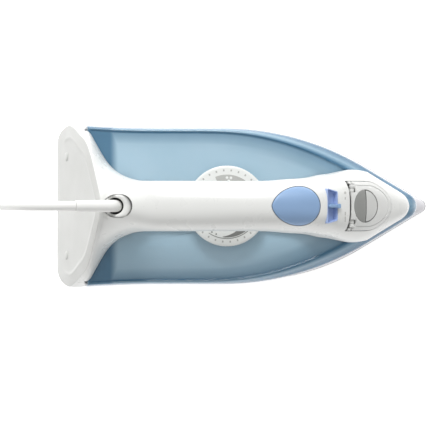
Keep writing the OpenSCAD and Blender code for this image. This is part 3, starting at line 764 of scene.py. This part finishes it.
def handle_cover():
    """The white shell of rear, handle and beak, open below and round the finger gap."""
    shell = housing("handle_cover_shell", 0.05)
    x0, x1, z0, z1 = GAP
    band = round_box(x0 - PART_BAND, x1 + PART_BAND, 40, z1 + PART_BAND, GAP_CORNER + PART_BAND, 20)
    boolean(shell, [
        housing("cut", COVER_WALL, HEEL_Z - 2, 4, 28),
        block("cut", (WHOLE_X[0], HEEL_THICK + SEAM), WHOLE_Y, (-60, 200), HEEL_FRAME),
        block("cut", WHOLE_X, WHOLE_Y, (-10, FLOOR_Z)),
        block("cut", (SEAM_X, WHOLE_X[1]), WHOLE_Y, (0, DECK_Z)),
        side_prism("cut", band, 70),
        prism("cut", egg_outline(0), 108, 150),
        prism("cut", track_outline(0), -10, 20, TRACK_FRAME),
        block("cut", (-8, -4), (-9.4, 9.4), (-7, -3.1), TRACK_FRAME),
        prism("cut", door_outline(0), -14, 20, DOOR_FRAME),
        prism("cut", stadium(*SOCKET), 100, 140),
        block("cut", *GUARD_ROOM)])
    soften(shell, 0, smooth_angle=35)
    shade_like(shell, housing("uncut", 0.05))
    return finish(shell, "housing_body", "white_shell", WHITE, "handle_cover")


def gap_path():
    """Points round the finger gap with the direction away from it."""
    r = GAP_CORNER
    centres = box_corners(*GAP, r)
    spots = []
    for k, (cx, cz) in enumerate(centres):
        for i in range(17):
            a = radians(90 * k + 90 * i / 16)
            n = (cos(a), sin(a))
            spots.append((cx + r * n[0], cz + r * n[1], n))
        a, n = spots[-1], spots[-1][2]
        nx, nz = centres[(k + 1) % 4]
        b = (nx + r * n[0], nz + r * n[1])
        count = 24 if k % 2 == 0 else 1
        for i in range(1, count):
            t = i / count
            spots.append((a[0] * (1 - t) + b[0] * t, a[1] * (1 - t) + b[1] * t, n))
    return spots


def handle_base():
    """Liner of the finger gap: a channel whose outer face carries on the housing's surface."""
    # (share of the reach away from the gap, share of the half width)
    profile = [(1, 1), (0.73, 1), (0.5, 0.995), (0.3, 0.97), (0.16, 0.92), (0.06, 0.84), (0.015, 0.75),
               (0, 0.64), (0, 0.4), (0, 0)]
    wall = 2.3
    rings = []
    for x, z, (nx, nz) in gap_path():
        reach = PART_BAND - SEAM
        if nz < -0.001:
            reach = min(reach, (z - DECK_Z) / -nz)
        outer = []
        inner = []
        for n, f in profile:
            px, pz = x + n * reach * nx, z + n * reach * nz
            y = f * (half_at(px, pz) - 0.05)
            outer.append((px, y, pz))
            depth = min(n * reach + wall, reach)
            inner.append((x + depth * nx, max(y - wall - 0.2, 0) if f else 0, z + depth * nz))
        left = [(px, -y, pz) for px, y, pz in outer[:-1]]
        left_in = [(px, -y, pz) for px, y, pz in inner[:-1]]
        rings.append(outer + left[::-1] + left_in + inner[::-1])
    base = lofted("handle_base_liner", rings, closed=True)
    boolean(base, [lathe("cut", [(3.2, 50), (3.2, 70)], DIAL_PLACE)])
    soften(base, 0, smooth_angle=45)
    return finish(base, "housing_body", "white_shell", LINER, "handle_base")


def resampled(points, count):
    """A closed polygon with points at equal steps along it."""
    p = np.array(points + [points[0]], float)
    run = np.concatenate([[0], np.cumsum(np.linalg.norm(np.diff(p, axis=0), axis=1))])
    at = np.linspace(0, run[-1], count, endpoint=False)
    return [(float(np.interp(s, run, p[:, 0])), float(np.interp(s, run, p[:, 1]))) for s in at]


HEEL_TOP = 110.6
RIM_FACING = 0.8


def heel_boundary(depth, count=200):
    """Edge of the heel plate at a depth under its face, as (across, up the slope)."""
    c, s = cos(HEEL_LEAN), sin(HEEL_LEAN)
    low = depth * s / c
    high = (HEEL_TOP - HEEL_Z + depth * s) / c
    side = []
    for v in np.linspace(low, high, 90):
        side.append((half_at(HEEL_X + depth * c + v * s, HEEL_Z - depth * s + v * c), float(v)))
    side = [(0, low)] + side
    return resampled(side + [(-y, v) for y, v in side[:0:-1]], count)


def heel_ring(inset, depth):
    """Ring of the heel plate at an inset from its edge and a depth under its face."""
    middle = 52.0
    ring = []
    for y, v in heel_boundary(max(depth, 0)):
        far = hypot(y, v - middle)
        k = 1 - inset / far
        u = middle + (v - middle) * k
        raised = depth if depth >= 0 else depth * ease(u, 16, 30)
        ring.append(HEEL_FRAME @ Vector((raised, y * k, u)))
    return ring


def heel_cover():
    """The plate that the iron stands on, with a round rim and a raised bead near its upper edge."""
    steps = [(0.1, HEEL_THICK), (0.05, 1.0), (0.12, 0.5), (0.35, 0.15), (0.75, 0), (8.2, 0), (8.8, -0.2),
             (9.6, -0.35), (10.6, -0.35), (11.4, -0.2), (12, 0), (14, 0)]
    plate = lofted("heel_cover_plate", [heel_ring(*step) for step in steps])
    soften(plate, 0, smooth_angle=50)
    finish(plate, "housing_body", "grey_plastic", HEEL_GREY, "heel_cover")
    plate.data.materials.append(WHITE)
    back = HEEL_FRAME.to_3x3() @ Vector((-1, 0, 0))
    for face in plate.data.polygons:
        if face.normal.dot(back) < RIM_FACING:
            face.material_index = 1
    return plate


def heel_feet():
    spots = []
    for y in (-38, 38):
        place = frame_at(0, y, 26, -QUARTER, base=HEEL_FRAME)
        spots.append(lathe("foot", [(3.4, -0.6), (3.4, 0.15), (3.1, 0.5), (2.3, 0.72), (1, 0.8)], place, 32))
    feet = soften(joined("heel_feet_pads", spots), 0)
    return finish(feet, "housing_body", "grey_plastic", HEEL_GREY, "heel_feet")


def socket_reach(angle):
    """Distance from the swivel to the edge of the socket."""
    r = SOCKET[2] - SEAM
    ahead = SOCKET[1] - SOCKET[2] - SWIVEL[0]
    c, s = cos(angle), sin(angle)
    if c <= 0:
        return r
    straight = r / max(abs(s), 0.001)
    if straight * c < ahead:
        return straight
    return ahead * c + sqrt(r * r - (ahead * s) ** 2)


def cord_socket():
    """Insert round the cord: a lip that follows the housing, with a groove round it."""
    # (share of the way from the bore to the socket's edge, height over the lip)
    steps = [(0, -14), (0, -1.5), (0.07, -0.6), (0.2, -0.1), (0.42, 0), (0.68, -0.05), (0.84, -0.45),
             (0.92, -1.1), (0.96, -1.5), (1, -1.5), (1, -14)]
    rings = []
    for a in around(72):
        ring = []
        for t, drop in steps:
            r = SOCKET_BORE + t * (socket_reach(a) - SOCKET_BORE)
            x = SWIVEL[0] + r * cos(a)
            swing_room = 111.4 + 6.1 * ease(cos(a), -0.4, 0.4)
            lip = min(top_z(x, 0) - 2.4, swing_room)
            ring.append((x, r * sin(a), max(lip + drop, 98)))
        rings.append(ring)
    lip = lofted("cord_socket_lip", rings, closed=True)
    soften(lip, 0, smooth_angle=50)
    return finish(lip, "housing_body", "white_shell", WHITE, "cord_socket")


handle_cover()
handle_base()
heel_cover()
heel_feet()
cord_socket()

# ---- cord guard and cord

def cord_guard():
    """Tapered sleeve, bent from the swivel to the rear, and the ball that it turns on, near-black as painted
    shade deep in the socket.
    """
    profile = [(5.2, 106.1), (5.95, 106.8), (5.95, 109.2), (5.2, 110.6), (3.4, 111.6)]
    ball = soften(lathe("cord_swivel_ball", profile, frame_at(SWIVEL[0], 0, 0)), 0)
    finish(ball, "cord", "seal_rubber", BALL_SHADE, "cord_guard")
    back = np.array([-cos(GUARD_TILT), 0, sin(GUARD_TILT)])
    root = np.array([SWIVEL[0], 0, GUARD_Z])
    bend = [(SWIVEL[0] + 0.6, 0, 110.6), (SWIVEL[0] + 0.3, 0, 112.2), (SWIVEL[0] - 0.9, 0, 114.0),
            (SWIVEL[0] - 3.2, 0, 115.4)]
    along = (6.5, 10, 15, 20, 25, GUARD_LEN - 1, GUARD_LEN - 0.3, GUARD_LEN)
    straight = [tuple(root + back * s) for s in along]
    path = route_points(bend + straight, 3)
    run = np.linspace(0, 1, len(path))
    radii = list(np.interp(run, [0, 0.2, 0.35, 0.9, 0.96, 1], [4.3, 4.45, 4.45, 4.0, 3.95, 3.5]))
    sleeve = soften(tube("cord_guard_sleeve", path, radii, 32), 0)
    return [finish(sleeve, "cord", "cord_white", CORD, "cord_guard"), ball]


guard_pieces = cord_guard()
cord.data.materials.append(CORD)
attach(cord, "cord")
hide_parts("cord_lead", "cord_coil", "cord_tail")

# ---- tank, skirt and sole

EDGE_X, EDGE_Y = zip(*sorted(p for p in tank_loop(0) if p[1] >= 0))


def tank_inset(x, y):
    """How far inside the outline of the tank a place is."""
    here = float(np.interp(x, EDGE_X, EDGE_Y))
    ahead = float(np.interp(x + 2, EDGE_X, EDGE_Y))
    run = cos(atan2(here - ahead, 2)) if -117 < x < 130 else 1
    return (here - abs(y)) * run


def towards_nose(x):
    return ease(x, -40, 105)


def tank_ring(rear, front, z):
    """Ring of the tank with one inset at the rear and another at the nose."""
    pairs = zip(tank_loop(rear), tank_loop(front))
    return at_z([mix_points(p, q, towards_nose(p[0])) for p, q in pairs], z)


TANK_WALL = 2
# (inset at the rear, inset at the nose, level)
TANK_LEVELS = [
    (0.9, 0.9, 22), (0.25, 0.25, 22.6), (0, 0, 23.6), (0.2, 0.2, 35), (0.6, 0.6, 46), (1.0, 1.3, 50.5),
    (1.3, 2.4, 53), (1.7, 4.2, 55.4), (2.2, 6.3, 57.6), (2.7, 8.0, 59.1), (3.2, 9.0, 59.8), (3.7, 9.8, 60),
    (4.2, 10.5, 59.8), (4.8, 11.2, 59.2), (5.3, 11.8, 58.8), (6.2, 12.8, 58.95), (8.0, 15.2, 59),
    (10, 17, 59), (12, 19, 59), (14, 21, 59), (18, 25, 59), (24, 30, 59), (32, 36, 59)]
# (distance from the outline at the rear, share of the painted shade colour)
TANK_SHADE = [(0, 1.0), (1.4, 1.0), (2.8, 0.4), (3.8, 0.6), (4.8, 1.0), (6.0, 0.62), (8.5, 0.45), (11, 0.36),
             (13.5, 0.12), (20, 0.03)]


def drilled(spots, low, high, sides=48):
    """Cutters for upright round holes, each (x, y, radius)."""
    return [lathe("cut", [(r, low), (r, high)], frame_at(x, y, 0), sides) for x, y, r in spots]


def tank_shell():
    """The tank's wall and roof; the mesh carries how much painted shade its colour has at each point."""
    outer = lofted("tank_shell_wall", [tank_ring(*level) for level in TANK_LEVELS])
    first = TANK_LEVELS[0][0] + TANK_WALL
    rings = [tank_ring(first, first, 20)]
    for rear, front, z in TANK_LEVELS:
        rings.append(tank_ring(rear + TANK_WALL, front + TANK_WALL, z if z < 24 else z - 1.9))
    spots = [(DIAL_X, 0, 5.5), (62, 0, 2.6), (56, -9, 2.3), (90, 0, 8)]
    boolean(outer, [lofted("cut", rings)] + drilled(spots, 40, 70))
    soften(outer, 0, smooth_angle=50, weld=0)
    # painted shade: darker blue towards the outline, where the walls are seen edge-on, and in a line along
    # the groove inside the bead
    edge = outer.data.attributes.new("edge", "FLOAT", "POINT")
    insets, shade_shares = zip(*TANK_SHADE)
    values = []
    for v in outer.data.vertices:
        x, y, _ = (c / MM for c in v.co)
        inset = tank_inset(x, y) / (1 + 1.1 * towards_nose(x))
        values.append(float(np.interp(inset, insets, shade_shares)))
    edge.data.foreach_set("value", values)
    return finish(outer, "housing_body", "tank_blue", TANK, "tank_shell")


def tank_posts():
    """Two thin-walled bosses that stand on the floor of the tank."""
    profile = [(10.4, 24), (11.6, 24), (11.5, 56.6), (10.6, 56.6)]
    posts = [ring_lathe("post", profile, frame_at(-45, y, 0), 48) for y in (-27, 27)]
    return finish(soften(joined("tank_posts", posts), 0.2, 2), "housing_body", "tank_blue", TANK)


def skirt_ring(t, d, z):
    """Ring of the skirt, a share t of the way from the sole's outline to the tank's."""
    return at_z(mix_loops(sole_loop(d, -134.4), tank_loop(d + 0.3, -134.4, 14), t), z)


def heat_shield():
    """White skirt between the soleplate and the tank."""
    outer = [(0, 1.4, 6.4), (0, 0.8, 6.9), (0, 0.6, 7.6), (0.15, 0.4, 12), (0.5, 0.3, 15.5),
             (0.8, 0.3, 18.5), (1, 0.35, 20.6), (1, 0.7, 21.4), (1, 1.2, 21.7), (1, 3, 21.7)]
    inner = [(0, 2.8, 5), (0, 2.8, 7.6), (0.15, 2.6, 12), (0.5, 2.5, 15.5), (0.8, 2.5, 18.5), (1, 2.8, 19.6)]
    shield = lofted("heat_shield_skirt", [skirt_ring(*level) for level in outer])
    spots = [(62, 0, 5), (56, -9, 2.3), (DIAL_X, 0, 4.5), (-121.4, -30, 2.5), (-121.4, 30, 2.5),
             (-108, 40, 1.6), (-108, -40, 1.6), (92, 0, 1.6)]
    boolean(shield, [lofted("cut", [skirt_ring(*level) for level in inner])] + drilled(spots, 5, 40, 32))
    soften(shield, 0, smooth_angle=50)
    return finish(shield, "housing_body", "white_shell", SKIRT_WHITE, "heat_shield")


STEAM_HOLES = (
    [(16 + 10 * i - (3 if i == 4 else 0), y * (0.7 if i == 4 else 1)) for i in range(5) for y in (-15, 15)]
    + [(20 + 11 * i, 0) for i in range(4)])


def soleplate():
    """Polished plate with flared steam holes; its levels are (inset, height)."""
    levels = [(1.9, 0), (0.9, 0.25), (0.3, 0.8), (0, 1.7), (0, 5.2), (0.25, 5.8), (0.8, 6)]
    sole = lofted("soleplate_polished", [at_z(sole_loop(d), z) for d, z in levels])
    holes = [lathe("cut", [(2.3, -1), (1.7, 0.6), (1.7, 8)], frame_at(x, y, 0), 24) for x, y in STEAM_HOLES]
    boolean(sole, [joined("cut", holes)])
    soften(sole, 0, smooth_angle=35)
    return finish(sole, "housing_body", "aluminium_plate", SOLE, "soleplate")


tank_shell()
tank_posts()
heat_shield()
soleplate()

# ---- dial, button and slider

DIAL_TOP = 67.4
DIAL_R = 30.5
DIAL_LOW = 63.4


DIAL_FACE = frame_at(DIAL_X, 0, DIAL_TOP)
PRINT_LOW = -0.1
PRINT_HIGH = 0.12


def sector(inner, outer, a0, a1, taper=1.0):
    """A flat band on the dial between two angles; taper scales its width at the first."""
    count = max(int(abs(a1 - a0) / 3), 4)
    rings = []
    for i in range(count + 1):
        t = i / count
        a = radians(a0 + (a1 - a0) * t)
        low = outer - (outer - inner) * (taper + (1 - taper) * t)
        corners = ((low, PRINT_LOW), (outer, PRINT_LOW), (outer, PRINT_HIGH), (low, PRINT_HIGH))
        rings.append([on_turn(DIAL_FACE, r, a, h) for r, h in corners])
    return lofted("sector", rings)


def dot(r, angle, size, height=PRINT_HIGH):
    a = radians(angle)
    spot = frame_at(r * cos(a), r * sin(a), 0, base=DIAL_FACE)
    return lathe("dot", [(size, PRINT_LOW), (size, height * 0.7), (size * 0.85, height)], spot, 20)


def dial_knob():
    """Dial with a fine grip round its edge, from (share of the radius, height) pairs."""
    rings = []
    profile = [(0.93, 0), (0.985, 0.25), (1, 0.8), (1, 2.9), (0.993, 3.5), (0.97, 3.85), (0.93, 4.0),
               (0.915, 3.96), (0.9, 3.97), (0.5, 4.0)]
    grips = 90
    for k, h in profile:
        wave = 0.0035 if k > 0.99 else 0
        ring = []
        for a in around(grips * 4):
            r = DIAL_R * k * (1 - wave + wave * cos(grips * a))
            ring.append(on_turn(DIAL_PLACE, r, a, DIAL_LOW + h))
        rings.append(ring)
    knob = soften(lofted("dial_knob_ribbed", rings), 0, smooth_angle=30)
    return finish(knob, "dial", "white_shell", DIAL_WHITE, "dial_knob")


def print_on_dial(name, parts, slot="grey_plastic", material=PRINT_PALE):
    return finish(soften(joined(name, parts), 0), "dial", slot, material)


def dial_prints():
    """Plain signs on the dial: a band, a wedge that runs from thin to thick, dots and marks."""
    print_on_dial("dial_band", [sector(17.2, 23.6, 40, 112)])
    dark = [sector(17.2, 23.6, 262, 316, taper=0.06), sector(24.2, 24.7, 236, 318)]
    dark += [dot(22.6, a, 0.62) for a in (222, 231, 240, 249)]
    print_on_dial("dial_wedge", dark, material=PRINT_MID)
    white = [dot(r, a, 1.05, 0.2) for r, a in ((21.3, 90), (21.3, 82), (18.9, 86))]
    print_on_dial("dial_dots", white, "white_shell", DIAL_WHITE)
    print_on_dial("dial_marks", [sector(26.2, 27.6, a, a + 2.4) for a in range(34, 356, 12)])


BUTTON_TRAVEL = 4.0


def button_cap():
    """Steam button: an egg-shaped cap, slightly domed, that follows the top of the handle."""
    base = float(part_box("pump_body")[1][2]) / MM + BUTTON_TRAVEL + 0.4
    # (inset, height over the housing's surface)
    steps = [(0.5, -7.5), (0.4, -1.2), (0.5, -0.5), (0.85, -0.12), (1.4, 0.04), (2.4, 0.1),
             (4.5, 0.12), (7.5, 0.1), (10.5, 0.06), (13, 0.04)]
    rings = []
    for d, lift in steps:
        low = lift < -7
        rings.append([(x, y, base if low else top_z(x, y) + 0.62 + lift) for x, y in egg_outline(d, 96)])
    cap = soften(lofted("button_cap_dome", rings), 0, smooth_angle=50)
    return finish(cap, "boost", "button_blue", BLUE, "button_cap")


def slider_track():
    """Blue tray in the beak; a slit in its rear wall lets the slider reach inside."""
    tray = prism("slider_track_tray", track_outline(0.12), -6.4, -0.5, TRACK_FRAME)
    boolean(tray, [
        prism("cut", track_outline(0.75, 0.9), -4.6, 5, TRACK_FRAME),
        block("cut", (-6, -3.2), (-10.6, 10.6), (-4.6, -3.4), TRACK_FRAME)])
    soften(tray, 0.12, 2, 40, 40)
    return finish(tray, "housing_body", "button_blue", BLUE_DEEP, "slider_track")


def slider_knob():
    """Thin upright fin on a flat shoe."""
    fin = rounded_polygon([(-3.7, -1.15), (3.9, -1.15), (3.9, 1.15), (-3.7, 1.15)], 0.9)
    wide = rounded_polygon([(2.6, -1.6), (5.6, -1.6), (5.6, 1.6), (2.6, 1.6)], 0.9)
    parts = [
        prism("fin", fin, -3.5, 1.9, TRACK_FRAME),
        prism("tip", wide, 0.5, 2.3, TRACK_FRAME),
        block("shoe", (-7.2, 3.6), (-1.9, 1.9), (-4.5, -3.5), TRACK_FRAME),
        block("stem", (-7.2, -5.2), (-1.7, 1.7), (-10.2, -4.5), TRACK_FRAME)]
    for part in parts:
        soften(part, 0.3, 3, 40, 40)
    return finish(joined("slider_knob_fin", parts), "slider", "button_blue", BLUE, "slider_knob")


def slider_marks():
    """Plain marks beside the slider: three strokes that grow and a round dot."""
    frame_here = on_beak(TRACK_X + 9.2, TRACK_SLOPE)
    parts = []
    for y, wide in ((-9.5, 1.9), (-5.5, 1.3), (5.6, 0.9)):
        parts.append(block("mark", (-0.45, 0.45), (y - wide, y + wide), (-0.02, 0.1), frame_here))
    parts.append(lathe("mark", [(1.0, -0.02), (1.0, 0.1)], frame_at(0, 9.6, 0, base=frame_here), 24))
    for part in parts:
        for v in part.data.vertices:
            x, y, z = (c / MM for c in v.co)
            level = 0.07 if (frame_here.inverted() @ Vector((x, y, z))).z > 0.05 else -0.1
            v.co.z = (top_z(x, y) + level) * MM
    return finish(joined("slider_marks", parts), "housing_body", "grey_plastic", PRINT_PALE)


dial_knob()
dial_prints()
button_cap()
slider_track()
slider_knob()
slider_marks()

# ---- filler door

BEAK_SPAN = (68, 122)
BEAK_STEP = 1.2
HINGE = (5.0, 3.6)
WINDOW = (16.5, 12.2)
NEAR_WINDOW = (80, 112)


def half_disc(r, front, flat=0.35, n=24):
    """Half of the round window, behind or in front of its middle line, in the door's frame."""
    turn = -90 if front else 90
    shift = flat if front else -flat
    points = arc(0, 0, r, turn, turn + 180, n)
    return [(WINDOW[0] + max(x, shift) if front else WINDOW[0] + min(x, shift), y) for x, y in points]


def beak_piece(name, outline_points, depth, span=NEAR_WINDOW):
    """A plate that lies in the surface of the beak, with an outline in the door's frame."""
    plate = prism(name, outline_points, -14, 6, DOOR_FRAME)
    boolean(plate, [housing("keep", 0.0, 40, BEAK_STEP, 48, span)], "INTERSECT")
    boolean(plate, [housing("cut", depth, 30, BEAK_STEP * 1.5, 40, (span[0] - 5, span[1] + 5))])
    return plate


def on_hinge(y):
    """Frame on the hinge line of the door, Z along it."""
    return frame_at(HINGE[0], y, -HINGE[1], -QUARTER, "X", DOOR_FRAME)


def knuckle(y, wide=2.6, r=1.9):
    """A knuckle of the door's hinge and the arm that joins it to the panel."""
    profile = [(r - 0.2, 0), (r, 0.2), (r, wide - 0.2), (r - 0.2, wide)]
    x, z = HINGE[0], -HINGE[1]
    arm = block("arm", (x, x + 4.2), (y, y + wide), (z - 1.3, z + 1.3), DOOR_FRAME)
    return [lathe("knuckle", profile, on_hinge(y), 28), arm]


def door_panel():
    """Clear filler door: a shell in the line of the beak, with a fine step inside its edge."""
    panel = beak_piece("door_panel_shell", door_outline(0.4, 1.6, 0.7), 2.2, BEAK_SPAN)
    ring = prism("ring", door_outline(3.1, 2.6, 0.7), -14, 6, DOOR_FRAME)
    boolean(ring, [prism("cut", door_outline(3.8, 2.6, 0.7), -15, 7, DOOR_FRAME)])
    boolean(ring, [housing("cut", 0.45, 30, BEAK_STEP, 48, BEAK_SPAN)])
    place = frame_at(WINDOW[0], 0, 0, base=DOOR_FRAME)
    notch = [block("cut", (-1, 7.5), ys, (-15, 15), DOOR_FRAME) for ys in ((-16.2, -10), (10, 16.2))]
    boolean(panel, [ring, lathe("cut", [(WINDOW[1], -12), (WINDOW[1], 12)], place, 72)] + notch)
    soften(panel, 0.18, 2, 45, 45)
    boolean(panel, knuckle(-15.8) + knuckle(13.2), "UNION")
    boolean(panel, [lathe("cut", [(0.95, 0), (0.95, 40)], on_hinge(-20), 24)])
    soften(panel, 0, smooth_angle=45)
    return finish(panel, "door", "clear_door", FROST, "door_panel")


def door_window():
    """Round window: its rear half tinted, its front half clear inside a dark line."""
    r = WINDOW[1] - 0.05
    tinted = beak_piece("door_window_tinted", half_disc(r, False), 2.0)
    soften(tinted, 0.15, 2, 45, 45)
    finish(tinted, "door", "tinted_window", TINT, "door_window")
    clear = beak_piece("door_lens", half_disc(r - 0.9, True, 0.5), 1.6)
    soften(clear, 0.15, 2, 45, 45)
    finish(clear, "door", "clear_door", CLEAR, "door_window")
    rim = beak_piece("door_rim", half_disc(r, True, -0.34), 2.0)
    boolean(rim, [prism("cut", half_disc(r - 0.88, True, 0.48), -15, 8, DOOR_FRAME)])
    soften(rim, 0.1, 1, 45, 45)
    finish(rim, "door", "tinted_window", RIM, "door_window")


door_panel()
door_window()

# ---- plug and tie

PLUG = tail_route[-1]


def plug_frame(ahead):
    """Frame on the plug's line, Z towards its pins."""
    return frame_at(PLUG[0] + ahead, PLUG[1], PLUG[2], QUARTER)


def plug_body():
    """Round plug with two notches at its face and grooves to hold it by."""
    place = plug_frame(22)
    profile = [(7.6, 0), (8.7, 0.5), (9.5, 1.8), (12.2, 6.5), (15.6, 10.2), (17.2, 12.2), (17.8, 14.2),
               (17.87, 16), (17.87, 29.5), (17.6, 31), (16.8, 31.8), (15.8, 32)]
    body = lathe("plug_body_moulded", profile, place, 72)
    slots = [block("cut", (x - 3, x + 3), (-2.8, 2.8), (17, 40), place) for x in (-18.172, 18.172)]
    grips = [block("cut", (-9, 9), (y - 0.9, y + 0.9), (h, h + 1.4), place)
             for y in (-17.4, 17.4) for h in (17, 20, 23, 26)]
    boolean(body, slots + grips)
    soften(body, 0.25, 2, 40, 40)
    return finish(body, "cord", "cord_white", CORD, "plug_body")


def plug_relief():
    """Ribbed sleeve that widens towards the plug."""
    profile = [(3.7, 0), (4.7, 0.3)]
    ribs = 6
    for i in range(ribs):
        r = 5 + 3 * (i + 0.5) / ribs
        h = 0.6 + i * 3.5
        profile += [(r - 0.15, h), (r, h + 0.4), (r, h + 1.9), (r - 0.2, h + 2.2)]
        profile += [(r - 1.1, h + 2.4), (r - 1.1, h + 3.2)]
    profile += [(7.9, 21.7), (7.9, 22)]
    relief = soften(lathe("plug_relief_ribbed", profile, plug_frame(0), 48), 0)
    return finish(relief, "cord", "cord_white", CORD, "plug_relief")


def cord_tie():
    """Flat band round the coil."""
    centre = COIL_X - COIL_RADIUS
    half = (2 * LANE + CORD_D) / 2 + 0.2
    low = 0.1
    high = 0.1 + 2 * LANE + CORD_D + 0.4 + 0.1
    round_r = 3.0
    section = [(0, -2.7), (0.15, -3), (0.8, -3), (0.95, -2.7), (0.95, 2.7), (0.8, 3), (0.15, 3), (0, 2.7)]
    rings = []
    for x, z in round_box(centre - half, centre + half, low + 1.0, high, round_r, 8):
        nx, nz = x - centre, z - (low + high) / 2
        out_x = max(abs(nx) - half + round_r, 0)
        out_z = max(abs(nz) - (high - low - 1) / 2 + round_r, 0)
        size = hypot(out_x, out_z)
        n = (copysign(out_x, nx) / size, copysign(out_z, nz) / size)
        rings.append([(x + n[0] * t, y, z + n[1] * t) for t, y in section])
    tie = soften(lofted("cord_tie_band", rings, closed=True), 0)
    return finish(tie, "cord", "grey_plastic", TRIM, "cord_tie")


plug_pieces = [plug_body(), plug_relief(), cord_tie()]

# ---- finishes of the CAD nodes that stay

FINISHES = (
    (CAST, "heater_casting chamber_cover"),
    (STEEL, "heating_element chamber_screws shield_screws pump_spring valve_rod door_pins plug_pins"),
    (BRASS, "element_terminals thermostat_blades valve_seat dial_shaft"),
    (CERAMIC, "thermostat_body"),
    (SEAL, "tank_gasket inlet_seal piston_ring"),
    (WIRE, "inner_wires"),
    (LINER, "inlet_frame"),
    (TRIM, "tank_floor shaft_sleeve thermal_fuse cord_clamp terminal_block pump_body pump_tube"),
    (TRIM, "pump_piston slider_cam"))


def finish_node(node, material):
    if not node.material_slots:
        node.data.materials.append(material)
    for material_slot in node.material_slots:
        material_slot.material = material


for material, names in FINISHES:
    for node_name in names.split():
        finish_node(nodes[node_name], material)

# ---- studio

def studio_floor():
    mesh = bpy.data.meshes.new("studio_floor")
    reach = 3.0
    mesh.from_pydata([(-reach, -reach, 0), (reach, -reach, 0), (reach, reach, 0), (-reach, reach, 0)],
                     [], [(0, 1, 2, 3)])
    floor = add_object("studio_floor", mesh)
    m = Nodes("studio_floor")
    m.color(m.ramp(m.noise(3, 2), (0.93,) * 3, (0.95,) * 3))
    m.constants(Roughness=0.8, Emission_Color=(1, 1, 1, 1), Emission_Strength=0.6)
    mesh.materials.append(m.material)


def area_light(name, place, size, power, target=(0, 0, 0.05)):
    data = bpy.data.lights.new(name, "AREA")
    data.shape = "DISK"
    data.size = size
    data.energy = power
    light = add_object(name, data)
    light.location = place
    light.rotation_euler = (Vector(target) - Vector(place)).to_track_quat("-Z", "Y").to_euler()


studio_floor()
world = bpy.data.worlds.new("studio")
world.use_nodes = True
world.node_tree.nodes["Background"].inputs["Color"].default_value = (1, 1, 1, 1)
world.node_tree.nodes["Background"].inputs["Strength"].default_value = 0.51
bpy.context.scene.world = world
bpy.context.scene.view_settings.view_transform = "Standard"
area_light("key", (-0.2, 1.5, 1.25), 1.0, 29)
area_light("fill", (-0.7, -1.0, 1.4), 1.2, 1.5)
